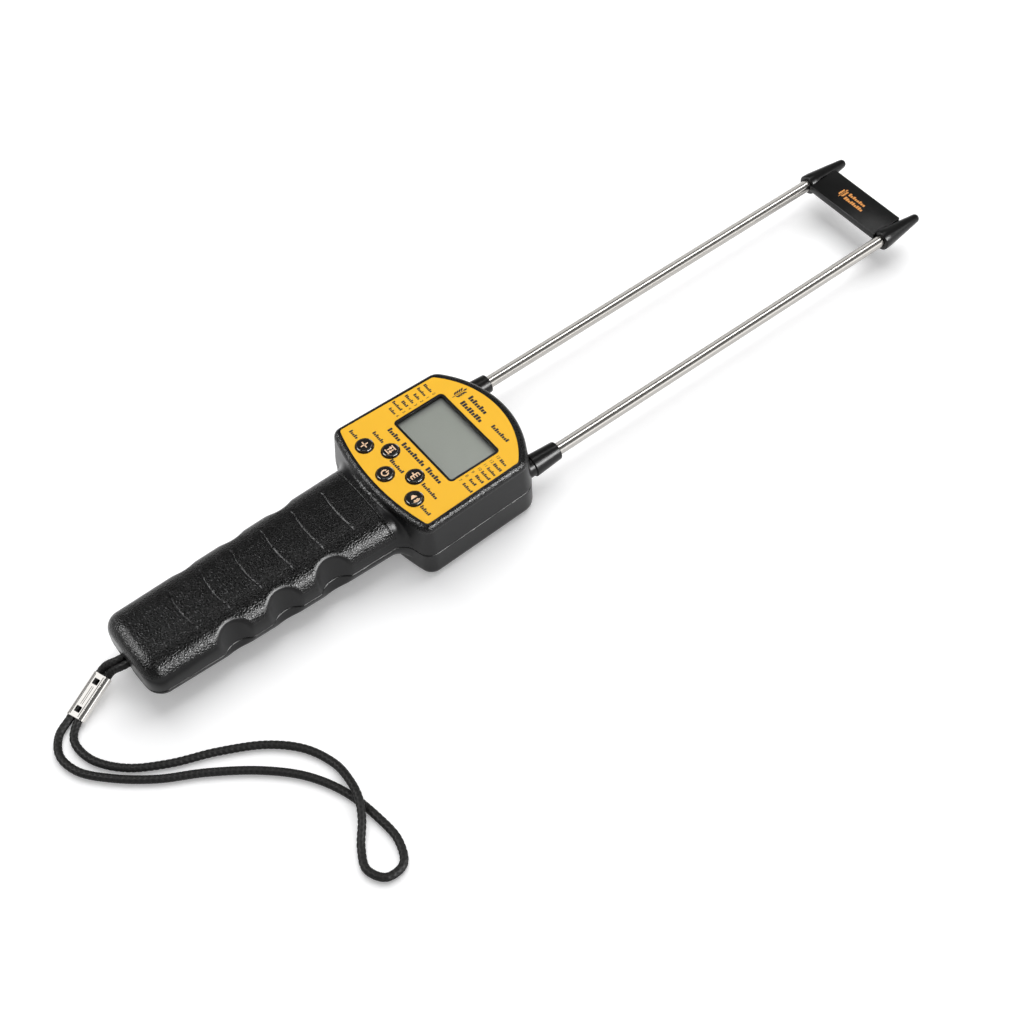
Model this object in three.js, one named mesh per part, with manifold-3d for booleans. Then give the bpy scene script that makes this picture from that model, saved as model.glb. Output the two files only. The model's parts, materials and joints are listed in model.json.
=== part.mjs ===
// A hand-held grain moisture meter: a head with a display and keys, a grip, two long probes
// joined by a bar near their tips, and a wrist strap. All lengths are millimetres.
//
// The meter lies on its back. X runs across the face, Y along the probes towards their tips
// and Z out of the face. The pieces are placed about the middle of the key rows (x = y = 0)
// on the surface that the meter lies on (z = 0); the group at the end moves the whole meter
// along Y, so that the origin is the bottom centre of its box.
import * as THREE from 'three';
import { mergeVertices } from 'three/addons/utils/BufferGeometryUtils.js';
import Module from 'manifold-3d';

const wasm = await Module();
wasm.setup();

// ---------------------------------------------------------------- driving dimensions
const FACE_Z = 34.45; // the face, above the back
const AXIS_Z = 15.8; // the probes' axis, where the two shells part
const WALL = 2.2; // shell wall
const GAP = 0.3; // clearance between pieces that touch
const TIP_Y = 299.9; // ends of the probe caps
const GRIP_END_Y = -145.6; // end of the grip

const HEAD = {
  halfWidth: 36.1, taper: 0.0255, // of the sides at y = 0, and how they close towards +Y
  bottomY: -18.3, bottomRadius: 123.5,
  topY: 57.3, topRadius: 51,
  bottomCorner: 5, topCorner: 7,
};
const EDGE_RADIUS = 3; // round edge between the face and the side walls
const DRAFT = 1.4; // how far the walls stand out at the parting plane
const BACK_RADIUS = 4.5; // round edge of the back

const GRIP = {
  neckY: -23, taperY: -131, // stations between which the grip tapers
  halfWidth: [23.7, 21.8], topHeight: [15.5, 15.0], backHeight: [12.4, 7.8],
  topPower: 3.1, backPower: 2.5, // how square the section is
  endRadius: 7, endDome: 0.8,
};
const SCOOP = { firstY: -53.3, pitch: 25, count: 3, radius: 10, floorX: 18.2, lean: 0.2 };

const LABEL = {
  halfWidth: 33.28, taper: 0.0314,
  bottomY: -14.9, bottomRadius: 120,
  topY: 53.4, topRadius: 47,
  bottomCorner: 1.6, topCorner: 2.5,
};
const LABEL_THICK = 0.3;
const FRAME = { halfWidth: 22.05, y0: 10.85, y1: 38.7, corner: 2.2 }; // opening in the label
const WINDOW_INSET = 1.2; // the shell's window, inside the label's opening
const LENS_THICK = 0.8;
const LENS_MARGIN = 1.6; // the lens's edge under the wall, around the window

const KEY = { radius: 3.95, hole: 4.3, flange: 4.9, rise: 1.15, travel: 0.7, stemZ: 29.3 };
const KEYS = [
  ['button_limit', -19.1, -6.6],
  ['button_adjust', -9.3, 0.75],
  ['button_power', -0.3, -8.6],
  ['button_varieties', 9.3, 0.75],
  ['button_voice', 18.9, -6.6],
];

const BOARD = { halfWidth: 25, y0: -13.5, y1: 41.6, z0: 24.6, thick: 1.6 };
const LCD = { halfWidth: 24, y0: 8.8, y1: 40.8, thick: 4.9 };
const SPEAKER = { y: 30, radius: 10, thick: 4.5, holeRadius: 0.9, holeRing: 5, holes: 6 };

const PROBE = { x: 26, radius: 3, wall: 0.8, innerEnd: 33, outerEnd: 288 };
const FERRULE = { base: 5.45, end: 4.5, endY: 66.9, flange: 6.2, neck: 4.6, flangeY: 37.5, wallY: 52 };
const CAP = { startY: 273.5, startRadius: 5.1, tipRadius: 2.3, bore: 20 };
const BAR = { y0: 272, y1: 290.2, z0: 15.1, z1: 18.8 };

const CELL = { radius: 5.2, length: 43.3, nub: 1.9, nubLength: 1.2, x: 5.6, z: 15.9 };
const BAY = { halfWidth: 12, y0: -125.5, y1: -29, roofZ: 21.9, wall: 1.5 };
const PLATE_THICK = 0.5;
const SPRING = { wire: 0.4, base: 3.4, top: 2.4, turns: 2.5, length: 3 };

const SCREWS = [
  [-29, -6, 4], [29, -6, 4], [-13, 46, 4], [13, 46, 4], // head: x, y and height of the seat
  [-13, -133, 11.8], [13, -133, 11.8], // end of the grip
];
const SCREW = { head: 2.4, headHeight: 1.6, shank: 1.2, length: 14, post: 3.2, well: 2.9 };
const POST_GAP = 0.4; // from the parting line to a post of either shell
const POST_OVERLAP = 4.5; // how far above its seat a front post starts
const GRIP_POST_TOP = 29; // inside the skin of the grip's top
const WINDOW_FLOOR = 28; // below every opening in the face
const HOOK = {
  x: 7.5, halfWidth: 1.5, root: 3.5, rootEnd: 1.5, reach: 2.2, z0: 4.6, tongueZ: 6, z1: 7.2,
  slotHalfWidth: 2, slotBack: 2, slotReach: 5, slotZ0: 5.7, slotZ1: 11,
}; // two hooks at the door's head end, and the slots that they turn in
const LATCH_NOTCH = { radius: 4, past: 1.4 }; // fingernail cut in the door's free end

const PIN = { radius: 1.5, x: -2.35, y: -138.9, z0: 10, z1: 22 }; // the strap turns round it
const STRAP_HOLE = { halfWidth: 5.2, halfHeight: 2.6 }; // in the grip's end, in line with the pin
const CLASP = {
  near: [-7.5, -155.2, 7.5], far: [0.1, -174.45, 2.9],
  width: 9.1, height: 5, wall: 0.4, window: 2.2,
};
const CORD_DIAMETER = 3.7;
// The cord from the strap hole, through the clasp, round the loop and back to the hole.
const CORD_ROUTE = [
  [-4.4, -141.0, 15.8], [-5.2, -147.0, 15.2], [-8.9, -152.0, 11.0], [-9.7, -155.2, 7.9],
  [-5.6, -165.6, 5.2], [-1.4, -176.2, 2.7], [2.5, -183.8, 2.0], [11.0, -188.3, 2.0],
  [22.0, -186.2, 2.0], [34.2, -176.4, 2.0], [46.3, -162.0, 2.0], [57.1, -143.8, 2.0],
  [70.5, -125.8, 2.0], [84.6, -112.6, 2.0], [100.3, -104.4, 2.0], [118.0, -100.4, 2.0],
  [132.0, -99.8, 2.0], [141.4, -104.4, 2.0], [141.6, -112.8, 2.0], [134.0, -117.0, 2.0],
  [125.0, -113.4, 2.1], [115.8, -106.3, 4.5], [107.7, -102.2, 5.9], [98.0, -100.3, 4.5],
  [87.2, -100.3, 2.1], [74.0, -105.8, 2.0], [62.2, -117.0, 2.0], [51.6, -135.2, 2.0],
  [43.4, -154.2, 2.0], [33.5, -169.6, 2.0], [20.5, -179.0, 2.0], [8.6, -180.0, 2.0],
  [2.4, -174.7, 2.7], [-1.8, -164.1, 5.2], [-5.9, -153.7, 7.9], [-5.3, -151.0, 10.4],
  [-1.5, -147.0, 15.0], [-0.3, -141.0, 15.8],
];
const CORD_STEPS = 78;

const SKIN = 0.1; // how far a cutting tool passes the surface that it cuts
const SIDES = 16; // of small round pieces

// ---------------------------------------------------------------- solids
function outward(geometry) {
  const bare = geometry.clone();
  for (const name of Object.keys(bare.attributes)) {
    if (name !== 'position') bare.deleteAttribute(name);
  }
  const merged = mergeVertices(bare, 1e-4);
  const spots = merged.attributes.position;
  const corners = [];
  let volume = 0;
  for (let i = 0; i < merged.index.count; i += 3) {
    const [a, b, c] = [0, 1, 2].map((k) => merged.index.getX(i + k));
    if (a === b || b === c || c === a) continue;
    corners.push(a, b, c);
    const [p, q, r] = [a, b, c].map((k) => new THREE.Vector3().fromBufferAttribute(spots, k));
    volume += p.dot(q.cross(r));
  }
  if (volume < 0) corners.reverse();
  merged.setIndex(corners);
  return merged;
}

function solid(geometry) {
  const closed = outward(geometry);
  return new wasm.Manifold(new wasm.Mesh({
    numProp: 3,
    vertProperties: new Float32Array(closed.attributes.position.array),
    triVerts: new Uint32Array(closed.index.array),
  }));
}

function geometryOf(body) {
  const mesh = body.getMesh();
  const geometry = new THREE.BufferGeometry();
  geometry.setAttribute('position', new THREE.BufferAttribute(mesh.vertProperties, 3));
  geometry.setIndex(new THREE.BufferAttribute(mesh.triVerts, 1));
  geometry.computeVertexNormals();
  return geometry;
}

function join(bodies) {
  return bodies.reduce((whole, body) => whole.add(body));
}

function cut(body, tools) {
  return tools.reduce((rest, tool) => rest.subtract(tool), body);
}

function block(x0, x1, y0, y1, z0, z1) {
  const box = new THREE.BoxGeometry(x1 - x0, y1 - y0, z1 - z0);
  return solid(box.translate((x0 + x1) / 2, (y0 + y1) / 2, (z0 + z1) / 2));
}

// A turned piece about a line along Z through (x, y); profile points are [radius, z].
function turnedZ(profile, x = 0, y = 0, sides = SIDES) {
  const points = profile.map(([radius, z]) => new THREE.Vector2(radius, z));
  return solid(new THREE.LatheGeometry(points, sides).rotateX(Math.PI / 2).translate(x, y, 0));
}

// The same about a line along Y through (x, z); profile points are [radius, y].
function turnedY(profile, x, z, sides = SIDES) {
  const points = profile.map(([radius, y]) => new THREE.Vector2(radius, y));
  return solid(new THREE.LatheGeometry(points, sides).translate(x, 0, z));
}

function drum(radius, z0, z1, x, y, sides = SIDES) {
  return turnedZ([[0, z0], [radius, z0], [radius, z1], [0, z1]], x, y, sides);
}

// A closed solid through a row of rings that all have the same number of points.
function loft(rings) {
  const count = rings[0].length;
  const spots = rings.flat();
  const corners = [];
  for (let r = 0; r + 1 < rings.length; r += 1) {
    for (let i = 0; i < count; i += 1) {
      const [a, b] = [r * count + i, r * count + ((i + 1) % count)];
      corners.push(a, b, b + count, a, b + count, a + count);
    }
  }
  for (const [ring, start, flip] of [[rings[0], 0, true],
    [rings.at(-1), (rings.length - 1) * count, false]]) {
    const middle = ring.reduce((sum, p) => sum.add(p), new THREE.Vector3()).divideScalar(count);
    spots.push(middle);
    for (let i = 0; i < count; i += 1) {
      const [a, b] = [start + i, start + ((i + 1) % count)];
      corners.push(...(flip ? [spots.length - 1, b, a] : [spots.length - 1, a, b]));
    }
  }
  const geometry = new THREE.BufferGeometry().setFromPoints(spots);
  return solid(geometry.setIndex(corners));
}

// ---------------------------------------------------------------- outlines
// Half of a face outline from the bottom middle to the top middle: a shallow bottom arc, a
// straight tapered side and a deep top arc, with a round corner at each end of the side.
function halfOutline(spec, offset, steps) {
  const slope = Math.atan(spec.taper);
  const [nx, ny] = [Math.cos(slope), Math.sin(slope)];
  const points = [];
  const arc = (cx, cy, radius, from, to, count, first) => {
    for (let i = first; i <= count; i += 1) {
      const angle = from + ((to - from) * i) / count;
      points.push(new THREE.Vector2(cx + radius * Math.cos(angle), cy + radius * Math.sin(angle)));
    }
  };
  const corner = (arcY, arcRadius, radius, side) => {
    const depth = spec.halfWidth * nx - radius - ny * arcY;
    const along = side * Math.sqrt((arcRadius - radius) ** 2 - depth ** 2);
    return new THREE.Vector2(nx * depth - ny * along, arcY + ny * depth + nx * along);
  };
  const bottomY = spec.bottomY + spec.bottomRadius;
  const topY = spec.topY - spec.topRadius;
  const low = corner(bottomY, spec.bottomRadius, spec.bottomCorner, -1);
  const high = corner(topY, spec.topRadius, spec.topCorner, 1);
  const lowAngle = Math.atan2(low.y - bottomY, low.x);
  const highAngle = Math.atan2(high.y - topY, high.x);
  const [few, many] = steps;
  arc(0, bottomY, spec.bottomRadius + offset, -Math.PI / 2, lowAngle, few, 0);
  arc(low.x, low.y, spec.bottomCorner + offset, lowAngle, slope, few, 1);
  arc(high.x, high.y, spec.topCorner + offset, slope, highAngle, few, 0);
  arc(0, topY, spec.topRadius + offset, highAngle, Math.PI / 2, many, 1);
  return points;
}

function faceOutline(spec, offset = 0, steps = [4, 8]) {
  const right = halfOutline(spec, offset, steps);
  const left = right.slice(1, -1).reverse().map((p) => new THREE.Vector2(-p.x, p.y));
  return [...right, ...left];
}

function roundedRectangle(halfWidth, y0, y1, corner) {
  const shape = new THREE.Shape();
  shape.moveTo(halfWidth - corner, y0);
  shape.absarc(halfWidth - corner, y0 + corner, corner, -Math.PI / 2, 0);
  shape.absarc(halfWidth - corner, y1 - corner, corner, 0, Math.PI / 2);
  shape.absarc(corner - halfWidth, y1 - corner, corner, Math.PI / 2, Math.PI);
  shape.absarc(corner - halfWidth, y0 + corner, corner, Math.PI, Math.PI * 1.5);
  return shape;
}

function plate(shape, z0, z1, curveSegments = 4) {
  const options = { depth: z1 - z0, bevelEnabled: false, curveSegments };
  return solid(new THREE.ExtrudeGeometry(shape, options).translate(0, 0, z0));
}

// ---------------------------------------------------------------- the outer body and its cavity
function headSolid(inset, steps) {
  const quarter = (count) => Array.from({ length: count + 1 }, (_, i) => (i / count) * (Math.PI / 2));
  const profile = [];
  for (const angle of quarter(3)) {
    const offset = DRAFT - BACK_RADIUS * (1 - Math.sin(angle));
    profile.push([BACK_RADIUS * (1 - Math.cos(angle)), offset]);
  }
  profile.push([AXIS_Z, DRAFT]);
  for (const angle of quarter(3)) {
    const fall = EDGE_RADIUS * (1 - Math.cos(Math.PI / 2 - angle));
    profile.push([FACE_Z - fall, -EDGE_RADIUS * (1 - Math.cos(angle))]);
  }
  const squeeze = (z) => inset + (z / FACE_Z) * (FACE_Z - 2 * inset - (inset ? LABEL_THICK : 0));
  return loft(profile.map(([z, offset]) => faceOutline(HEAD, offset - inset, steps)
    .map((p) => new THREE.Vector3(p.x, p.y, squeeze(z)))));
}

function gripRing(y, inset, count) {
  const along = (y - GRIP.neckY) / (GRIP.taperY - GRIP.neckY);
  const between = ([neck, end]) => neck + (end - neck) * Math.min(Math.max(along, 0), 1.1);
  const power = (value, exponent) => Math.sign(value) * Math.abs(value) ** (2 / exponent);
  const start = GRIP_END_Y + GRIP.endDome + GRIP.endRadius + inset;
  const turn = Math.min(Math.max((start - y) / GRIP.endRadius, 0), 1);
  const shrink = inset + GRIP.endRadius * (1 - Math.sqrt(1 - turn * turn));
  return Array.from({ length: count }, (_, i) => {
    const angle = (i / count) * 2 * Math.PI;
    const [c, s] = [Math.cos(angle), Math.sin(angle)];
    const [height, exponent] = s > 0
      ? [between(GRIP.topHeight), GRIP.topPower]
      : [between(GRIP.backHeight), GRIP.backPower];
    return new THREE.Vector3(
      (between(GRIP.halfWidth) - shrink) * power(c, exponent),
      y,
      AXIS_Z + (height - shrink) * power(s, exponent),
    );
  });
}

function gripSolid(inset, count, stations) {
  const end = GRIP_END_Y + GRIP.endDome + inset;
  const ys = [0, GRIP.neckY, -60, -100, GRIP.taperY].slice(0, stations);
  for (const turn of [0, 0.35, 0.65, 0.88, 1]) ys.push(end + GRIP.endRadius * (1 - turn));
  return loft(ys.map((y) => gripRing(y, inset, count)));
}

// Finger scoops down both sides: leaning cylinders, shallower towards the back.
function scoops(extra) {
  const tools = [];
  for (const side of [-1, 1]) {
    for (let i = 0; i < SCOOP.count; i += 1) {
      const radius = SCOOP.radius + extra;
      const tool = new THREE.CylinderGeometry(radius, radius, 60, extra ? 16 : 28);
      tool.rotateX(Math.PI / 2);
      tool.rotateY(-side * Math.atan(SCOOP.lean));
      const x = side * (SCOOP.floorX + SCOOP.radius);
      tools.push(solid(tool.translate(x, SCOOP.firstY - i * SCOOP.pitch, AXIS_Z + 8)));
    }
  }
  return tools;
}

const outerBody = cut(headSolid(0, [4, 8]).add(gripSolid(0, 40, 5)), scoops(0));
const cavity = cut(headSolid(WALL, [2, 5]).add(gripSolid(WALL, 24, 5)), scoops(WALL));
const hollowBody = outerBody.subtract(cavity);

const BIG = 400;
const frontHalf = block(-BIG, BIG, -BIG, BIG, AXIS_Z + GAP / 2, BIG);
const rearHalf = block(-BIG, BIG, -BIG, BIG, -BIG, AXIS_Z - GAP / 2);

// ---------------------------------------------------------------- openings shared by the shells
function ferruleSeats() {
  return [-1, 1].map((side) => turnedY([
    [0, FERRULE.flangeY + 2], [FERRULE.neck + GAP, FERRULE.flangeY + 2],
    [FERRULE.neck + GAP, FERRULE.wallY], [FERRULE.base + GAP, FERRULE.wallY],
    [FERRULE.base + GAP, 70], [0, 70],
  ], side * PROBE.x, AXIS_Z, 20));
}

function strapHole() {
  const { halfWidth, halfHeight } = STRAP_HOLE;
  const [x0, x1] = [PIN.x - halfWidth, PIN.x + halfWidth];
  return block(x0, x1, GRIP_END_Y - 2, PIN.y, AXIS_Z - halfHeight, AXIS_Z + halfHeight);
}

function pinSeat() {
  return drum(PIN.radius + GAP, PIN.z0 - GAP, PIN.z1 + GAP, PIN.x, PIN.y, 12);
}

// ---------------------------------------------------------------- shells
function frontShell() {
  const bed = FACE_Z - LABEL_THICK - GAP;
  const under = FACE_Z - LABEL_THICK - WALL;
  const posts = SCREWS.map(([x, y, seat]) => drum(
    SCREW.post, Math.max(AXIS_Z + POST_GAP, seat + POST_OVERLAP),
    y < GRIP.neckY ? GRIP_POST_TOP : under + 0.5, x, y, 10,
  ));
  const pilots = SCREWS.map(([x, y, seat]) => drum(
    SCREW.shank + GAP, seat, seat + SCREW.length - 0.5, x, y, 10,
  ));
  const halfWindow = FRAME.halfWidth - WINDOW_INSET;
  const [y0, y1] = [FRAME.y0 + WINDOW_INSET, FRAME.y1 - WINDOW_INSET];
  const lens = halfWindow + LENS_MARGIN + GAP;
  const tools = [
    plate(new THREE.Shape(faceOutline(LABEL, GAP)), bed, FACE_Z + 1),
    block(-halfWindow, halfWindow, y0, y1, WINDOW_FLOOR, FACE_Z),
    block(
      -lens, lens, y0 - LENS_MARGIN - GAP, y1 + LENS_MARGIN + GAP,
      WINDOW_FLOOR, under + LENS_THICK + GAP,
    ),
    ...KEYS.map(([, x, y]) => drum(KEY.hole, WINDOW_FLOOR, FACE_Z, x, y, 20)),
    ...ferruleSeats(),
    strapHole(),
    pinSeat(),
    ...pilots,
  ];
  const pinPost = drum(SCREW.post, PIN.z1 - 2, GRIP_POST_TOP, PIN.x, PIN.y, 12).intersect(outerBody);
  return cut(join([hollowBody.intersect(frontHalf), pinPost, ...posts]), tools);
}

function bayWalls() {
  const { halfWidth: w, y0, y1, roofZ, wall } = BAY;
  const outer = block(-w - wall, w + wall, y0 - wall, y1 + wall, 4, roofZ + wall);
  const inner = block(-w, w, y0, y1, 0, roofZ);
  const lead = block(-2, 2, y1 - SKIN, y1 + wall + SKIN, roofZ - 3, roofZ + wall + SKIN);
  return cut(outer.intersect(outerBody), [inner, lead]);
}

function hookSlots() {
  const { x, slotHalfWidth: w, slotBack, slotReach, slotZ0, slotZ1 } = HOOK;
  return [-1, 1].map((side) => block(
    side * x - w, side * x + w, BAY.y1 - slotBack, BAY.y1 + slotReach, slotZ0, slotZ1,
  ));
}

function rearShell() {
  const posts = SCREWS.map(([x, y, seat]) => drum(
    SCREW.post + 1, seat - 2, Math.min(AXIS_Z - POST_GAP, seat + 4), x, y, 12,
  ).intersect(outerBody));
  const wells = SCREWS.flatMap(([x, y, seat]) => [
    drum(SCREW.well, -SKIN, seat, x, y, 12),
    drum(SCREW.shank + GAP, seat - 1, AXIS_Z + 1, x, y, 10),
  ]);
  const door = block(-BAY.halfWidth, BAY.halfWidth, BAY.y0, BAY.y1, -SKIN, BAY.roofZ);
  const grille = Array.from({ length: SPEAKER.holes + 1 }, (_, i) => {
    const angle = (i / SPEAKER.holes) * 2 * Math.PI;
    const ring = i < SPEAKER.holes ? SPEAKER.holeRing : 0;
    const [x, y] = [ring * Math.cos(angle), SPEAKER.y + ring * Math.sin(angle)];
    return drum(SPEAKER.holeRadius, -SKIN, WALL + 1, x, y, 8);
  });
  const shell = join([hollowBody.intersect(rearHalf), bayWalls(), ...posts]);
  const seats = [...ferruleSeats(), strapHole(), pinSeat()];
  return cut(shell, [door, ...hookSlots(), ...wells, ...grille, ...seats]);
}

function batteryDoor() {
  const edge = BAY.halfWidth - GAP;
  const prism = block(-edge, edge, BAY.y0 + GAP, BAY.y1 - GAP, -SKIN, AXIS_Z);
  const panel = hollowBody.intersect(prism);
  const { x, halfWidth: w, root, rootEnd, reach, z0, tongueZ, z1 } = HOOK;
  const hooks = [-1, 1].map((side) => block(
    side * x - w, side * x + w, BAY.y1 - root, BAY.y1 + reach, tongueZ, z1,
  ));
  const roots = [-1, 1].map((side) => block(
    side * x - w, side * x + w, BAY.y1 - root, BAY.y1 - rootEnd, z0, z1,
  ));
  const notch = drum(LATCH_NOTCH.radius, -SKIN, AXIS_Z, 0, BAY.y0 - LATCH_NOTCH.past, 16);
  return cut(join([panel, ...hooks, ...roots]), [notch]);
}

// ---------------------------------------------------------------- face pieces
function faceLabel() {
  const shape = new THREE.Shape(faceOutline(LABEL));
  shape.holes.push(roundedRectangle(FRAME.halfWidth, FRAME.y0, FRAME.y1, FRAME.corner));
  for (const [, x, y] of KEYS) {
    shape.holes.push(new THREE.Path().absarc(x, y, KEY.hole + 0.15, 0, Math.PI * 2));
  }
  return plate(shape, FACE_Z - LABEL_THICK, FACE_Z, 5);
}

function displayWindow() {
  const halfWidth = FRAME.halfWidth - WINDOW_INSET + LENS_MARGIN;
  const margin = LENS_MARGIN - WINDOW_INSET;
  const z = FACE_Z - LABEL_THICK - WALL;
  return block(-halfWidth, halfWidth, FRAME.y0 - margin, FRAME.y1 + margin, z, z + LENS_THICK);
}

function lcdDisplay() {
  const z = BOARD.z0 + BOARD.thick + GAP;
  return block(-LCD.halfWidth, LCD.halfWidth, LCD.y0, LCD.y1, z, z + LCD.thick);
}

function circuitBoard() {
  const top = BOARD.z0 + BOARD.thick;
  const board = block(-BOARD.halfWidth, BOARD.halfWidth, BOARD.y0, BOARD.y1, BOARD.z0, top);
  const chip = block(-6, 6, 12, 24, BOARD.z0 - 1.4, BOARD.z0 + SKIN);
  const socket = block(-4, 4, -10, -5, BOARD.z0 - 3, BOARD.z0 + SKIN);
  return join([board, chip, socket]);
}

function key(x, y) {
  const rim = FACE_Z + 0.25;
  return turnedZ([
    [0, KEY.stemZ], [1.6, KEY.stemZ], [1.6, KEY.stemZ + 0.7], [KEY.flange, KEY.stemZ + 0.7],
    [KEY.flange, 31.3], [KEY.radius, 31.3], [KEY.radius, rim], [KEY.radius - 0.4, rim + 0.5],
    [KEY.radius - 1.6, rim + 0.8], [0, FACE_Z + KEY.rise],
  ], x, y, 18);
}

// The switch stands below the key's stem by the key's travel.
function keySwitch(x, y) {
  const z = BOARD.z0 + BOARD.thick + GAP;
  return block(x - 3, x + 3, y - 3, y + 3, z, KEY.stemZ - KEY.travel - SKIN);
}

function speaker() {
  const z = WALL + GAP;
  const { radius, thick, y } = SPEAKER;
  return turnedZ([
    [0, z], [radius, z], [radius, z + 1.5], [radius - 2.5, z + thick], [0, z + thick],
  ], 0, y, 20);
}

// ---------------------------------------------------------------- probes
function probe(side) {
  const { x, radius, wall, innerEnd, outerEnd } = PROBE;
  return turnedY([
    [radius - wall, innerEnd], [radius, innerEnd], [radius, outerEnd],
    [radius - wall, outerEnd], [radius - wall, innerEnd],
  ], side * x, AXIS_Z, 20);
}

function ferrule(side) {
  const bore = PROBE.radius + GAP;
  return turnedY([
    [bore, FERRULE.flangeY], [FERRULE.flange, FERRULE.flangeY],
    [FERRULE.flange, FERRULE.flangeY + 2.5], [FERRULE.neck, FERRULE.flangeY + 2.5],
    [FERRULE.neck, FERRULE.wallY + GAP], [FERRULE.base, FERRULE.wallY + GAP],
    [FERRULE.end, FERRULE.endY - 0.8], [FERRULE.end - 0.6, FERRULE.endY],
    [bore, FERRULE.endY], [bore, FERRULE.flangeY],
  ], side * PROBE.x, AXIS_Z, 20);
}

function probeTerminal(side) {
  const y = PROBE.innerEnd - GAP;
  const profile = [[0, y - 1.5], [PROBE.radius, y - 1.5], [PROBE.radius, y], [0, y]];
  return turnedY(profile, side * PROBE.x, AXIS_Z, 12);
}

function tube(points, radius, steps, sides) {
  const curve = new THREE.CatmullRomCurve3(points.map((p) => new THREE.Vector3(...p)), false);
  const section = new THREE.Shape(Array.from({ length: sides }, (_, i) => new THREE.Vector2(
    radius * Math.cos((i / sides) * 2 * Math.PI), radius * Math.sin((i / sides) * 2 * Math.PI),
  )));
  const options = { steps, extrudePath: curve, bevelEnabled: false, curveSegments: 1 };
  return solid(new THREE.ExtrudeGeometry(section, options));
}

function probeLead(side) {
  const y = PROBE.innerEnd - GAP - 1.5 - GAP;
  return tube([
    [side * PROBE.x, y, AXIS_Z], [side * PROBE.x, y - 4, AXIS_Z + 0.4],
    [side * 23, y - 9, AXIS_Z + 4], [side * 20, y - 11, BOARD.z0 - GAP],
  ], 0.7, 10, 6);
}

function tipCap(side) {
  const { startY, startRadius, tipRadius, bore } = CAP;
  const tipY = TIP_Y - tipRadius;
  const inner = PROBE.radius + GAP;
  const cone = turnedY([
    [0, startY], [startRadius, startY], [startRadius, startY + 3],
    [tipRadius + 1.1, tipY - 8], [tipRadius, tipY], [tipRadius * 0.75, tipY + tipRadius * 0.66],
    [0, TIP_Y],
  ], side * PROBE.x, AXIS_Z, 20);
  const socket = turnedY([
    [0, startY - 1], [inner, startY - 1], [inner, startY + bore], [0, startY + bore],
  ], side * PROBE.x, AXIS_Z, 20);
  const slot = tipBar(GAP);
  return cut(cone, [socket.intersect(block(-50, 50, 0, PROBE.outerEnd + GAP, 0, 40)), slot]);
}

function tipBar(extra = 0) {
  const half = PROBE.x - PROBE.radius - GAP + extra;
  return block(-half, half, BAR.y0 - extra, BAR.y1 + extra, BAR.z0 - extra, BAR.z1 + extra);
}

// ---------------------------------------------------------------- batteries
function cell(x, y, facing) {
  const profile = [
    [0, 0], [CELL.radius, 0], [CELL.radius, CELL.length], [CELL.nub, CELL.length],
    [CELL.nub, CELL.length + CELL.nubLength], [0, CELL.length + CELL.nubLength],
  ].map(([radius, along]) => [radius, y + facing * along]);
  return turnedY(profile, x, CELL.z, 14);
}

function contactPlate(x0, x1, y) {
  return block(x0, x1, y, y + PLATE_THICK, CELL.z - 4.8, CELL.z + 4.8);
}

function batterySpring(x, y, facing) {
  const steps = 20;
  const points = Array.from({ length: steps + 1 }, (_, i) => {
    const along = i / steps;
    const angle = along * SPRING.turns * 2 * Math.PI;
    const radius = SPRING.base + (SPRING.top - SPRING.base) * along;
    return [
      x + radius * Math.cos(angle),
      y + facing * (SPRING.wire + SPRING.length * along),
      CELL.z + radius * Math.sin(angle),
    ];
  });
  return tube(points, SPRING.wire, steps * 2, 5);
}

// ---------------------------------------------------------------- fasteners and strap
function screw(x, y, seat) {
  const top = seat - GAP;
  const under = top - SCREW.headHeight;
  return turnedZ([
    [0, under], [SCREW.head * 0.8, under], [SCREW.head, under + 0.5], [SCREW.head, top],
    [SCREW.shank, top], [SCREW.shank, top + SCREW.length - 1.5], [0, top + SCREW.length - 0.5],
  ], x, y, 10);
}

function strapPin() {
  return drum(PIN.radius, PIN.z0, PIN.z1, PIN.x, PIN.y, 12);
}

function strapCord() {
  const radius = CORD_DIAMETER / 2;
  return tube(CORD_ROUTE, radius, CORD_STEPS, 8);
}

// A flat oval ferrule round both strands, with two square windows in its upper face.
function strapClasp() {
  const { near, far, width, height, wall, window } = CLASP;
  const [start, end] = [new THREE.Vector3(...near), new THREE.Vector3(...far)];
  const length = start.distanceTo(end);
  const oval = (w, h, y0, y1) => {
    const shape = new THREE.Shape();
    const r = h / 2;
    shape.absarc(w / 2 - r, 0, r, -Math.PI / 2, Math.PI / 2);
    shape.absarc(r - w / 2, 0, r, Math.PI / 2, Math.PI * 1.5);
    const options = { depth: y1 - y0, bevelEnabled: false, curveSegments: 8 };
    return solid(new THREE.ExtrudeGeometry(shape, options).rotateX(Math.PI / 2).translate(0, y1, 0));
  };
  const sleeve = oval(width, height, 0, length)
    .subtract(oval(width - 2 * wall, height - 2 * wall, -1, length + 1));
  const windows = [0.18, 0.82].map((along) => block(
    -window / 2, window / 2, length * along - window / 2, length * along + window / 2, 0, height,
  ));
  const geometry = geometryOf(cut(sleeve, windows));
  const forward = end.clone().sub(start).normalize();
  const across = new THREE.Vector3().crossVectors(forward, new THREE.Vector3(0, 0, 1)).normalize();
  const up = new THREE.Vector3().crossVectors(across, forward);
  const place = new THREE.Matrix4().makeBasis(across, forward, up).setPosition(start);
  return solid(geometry.applyMatrix4(place));
}

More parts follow.
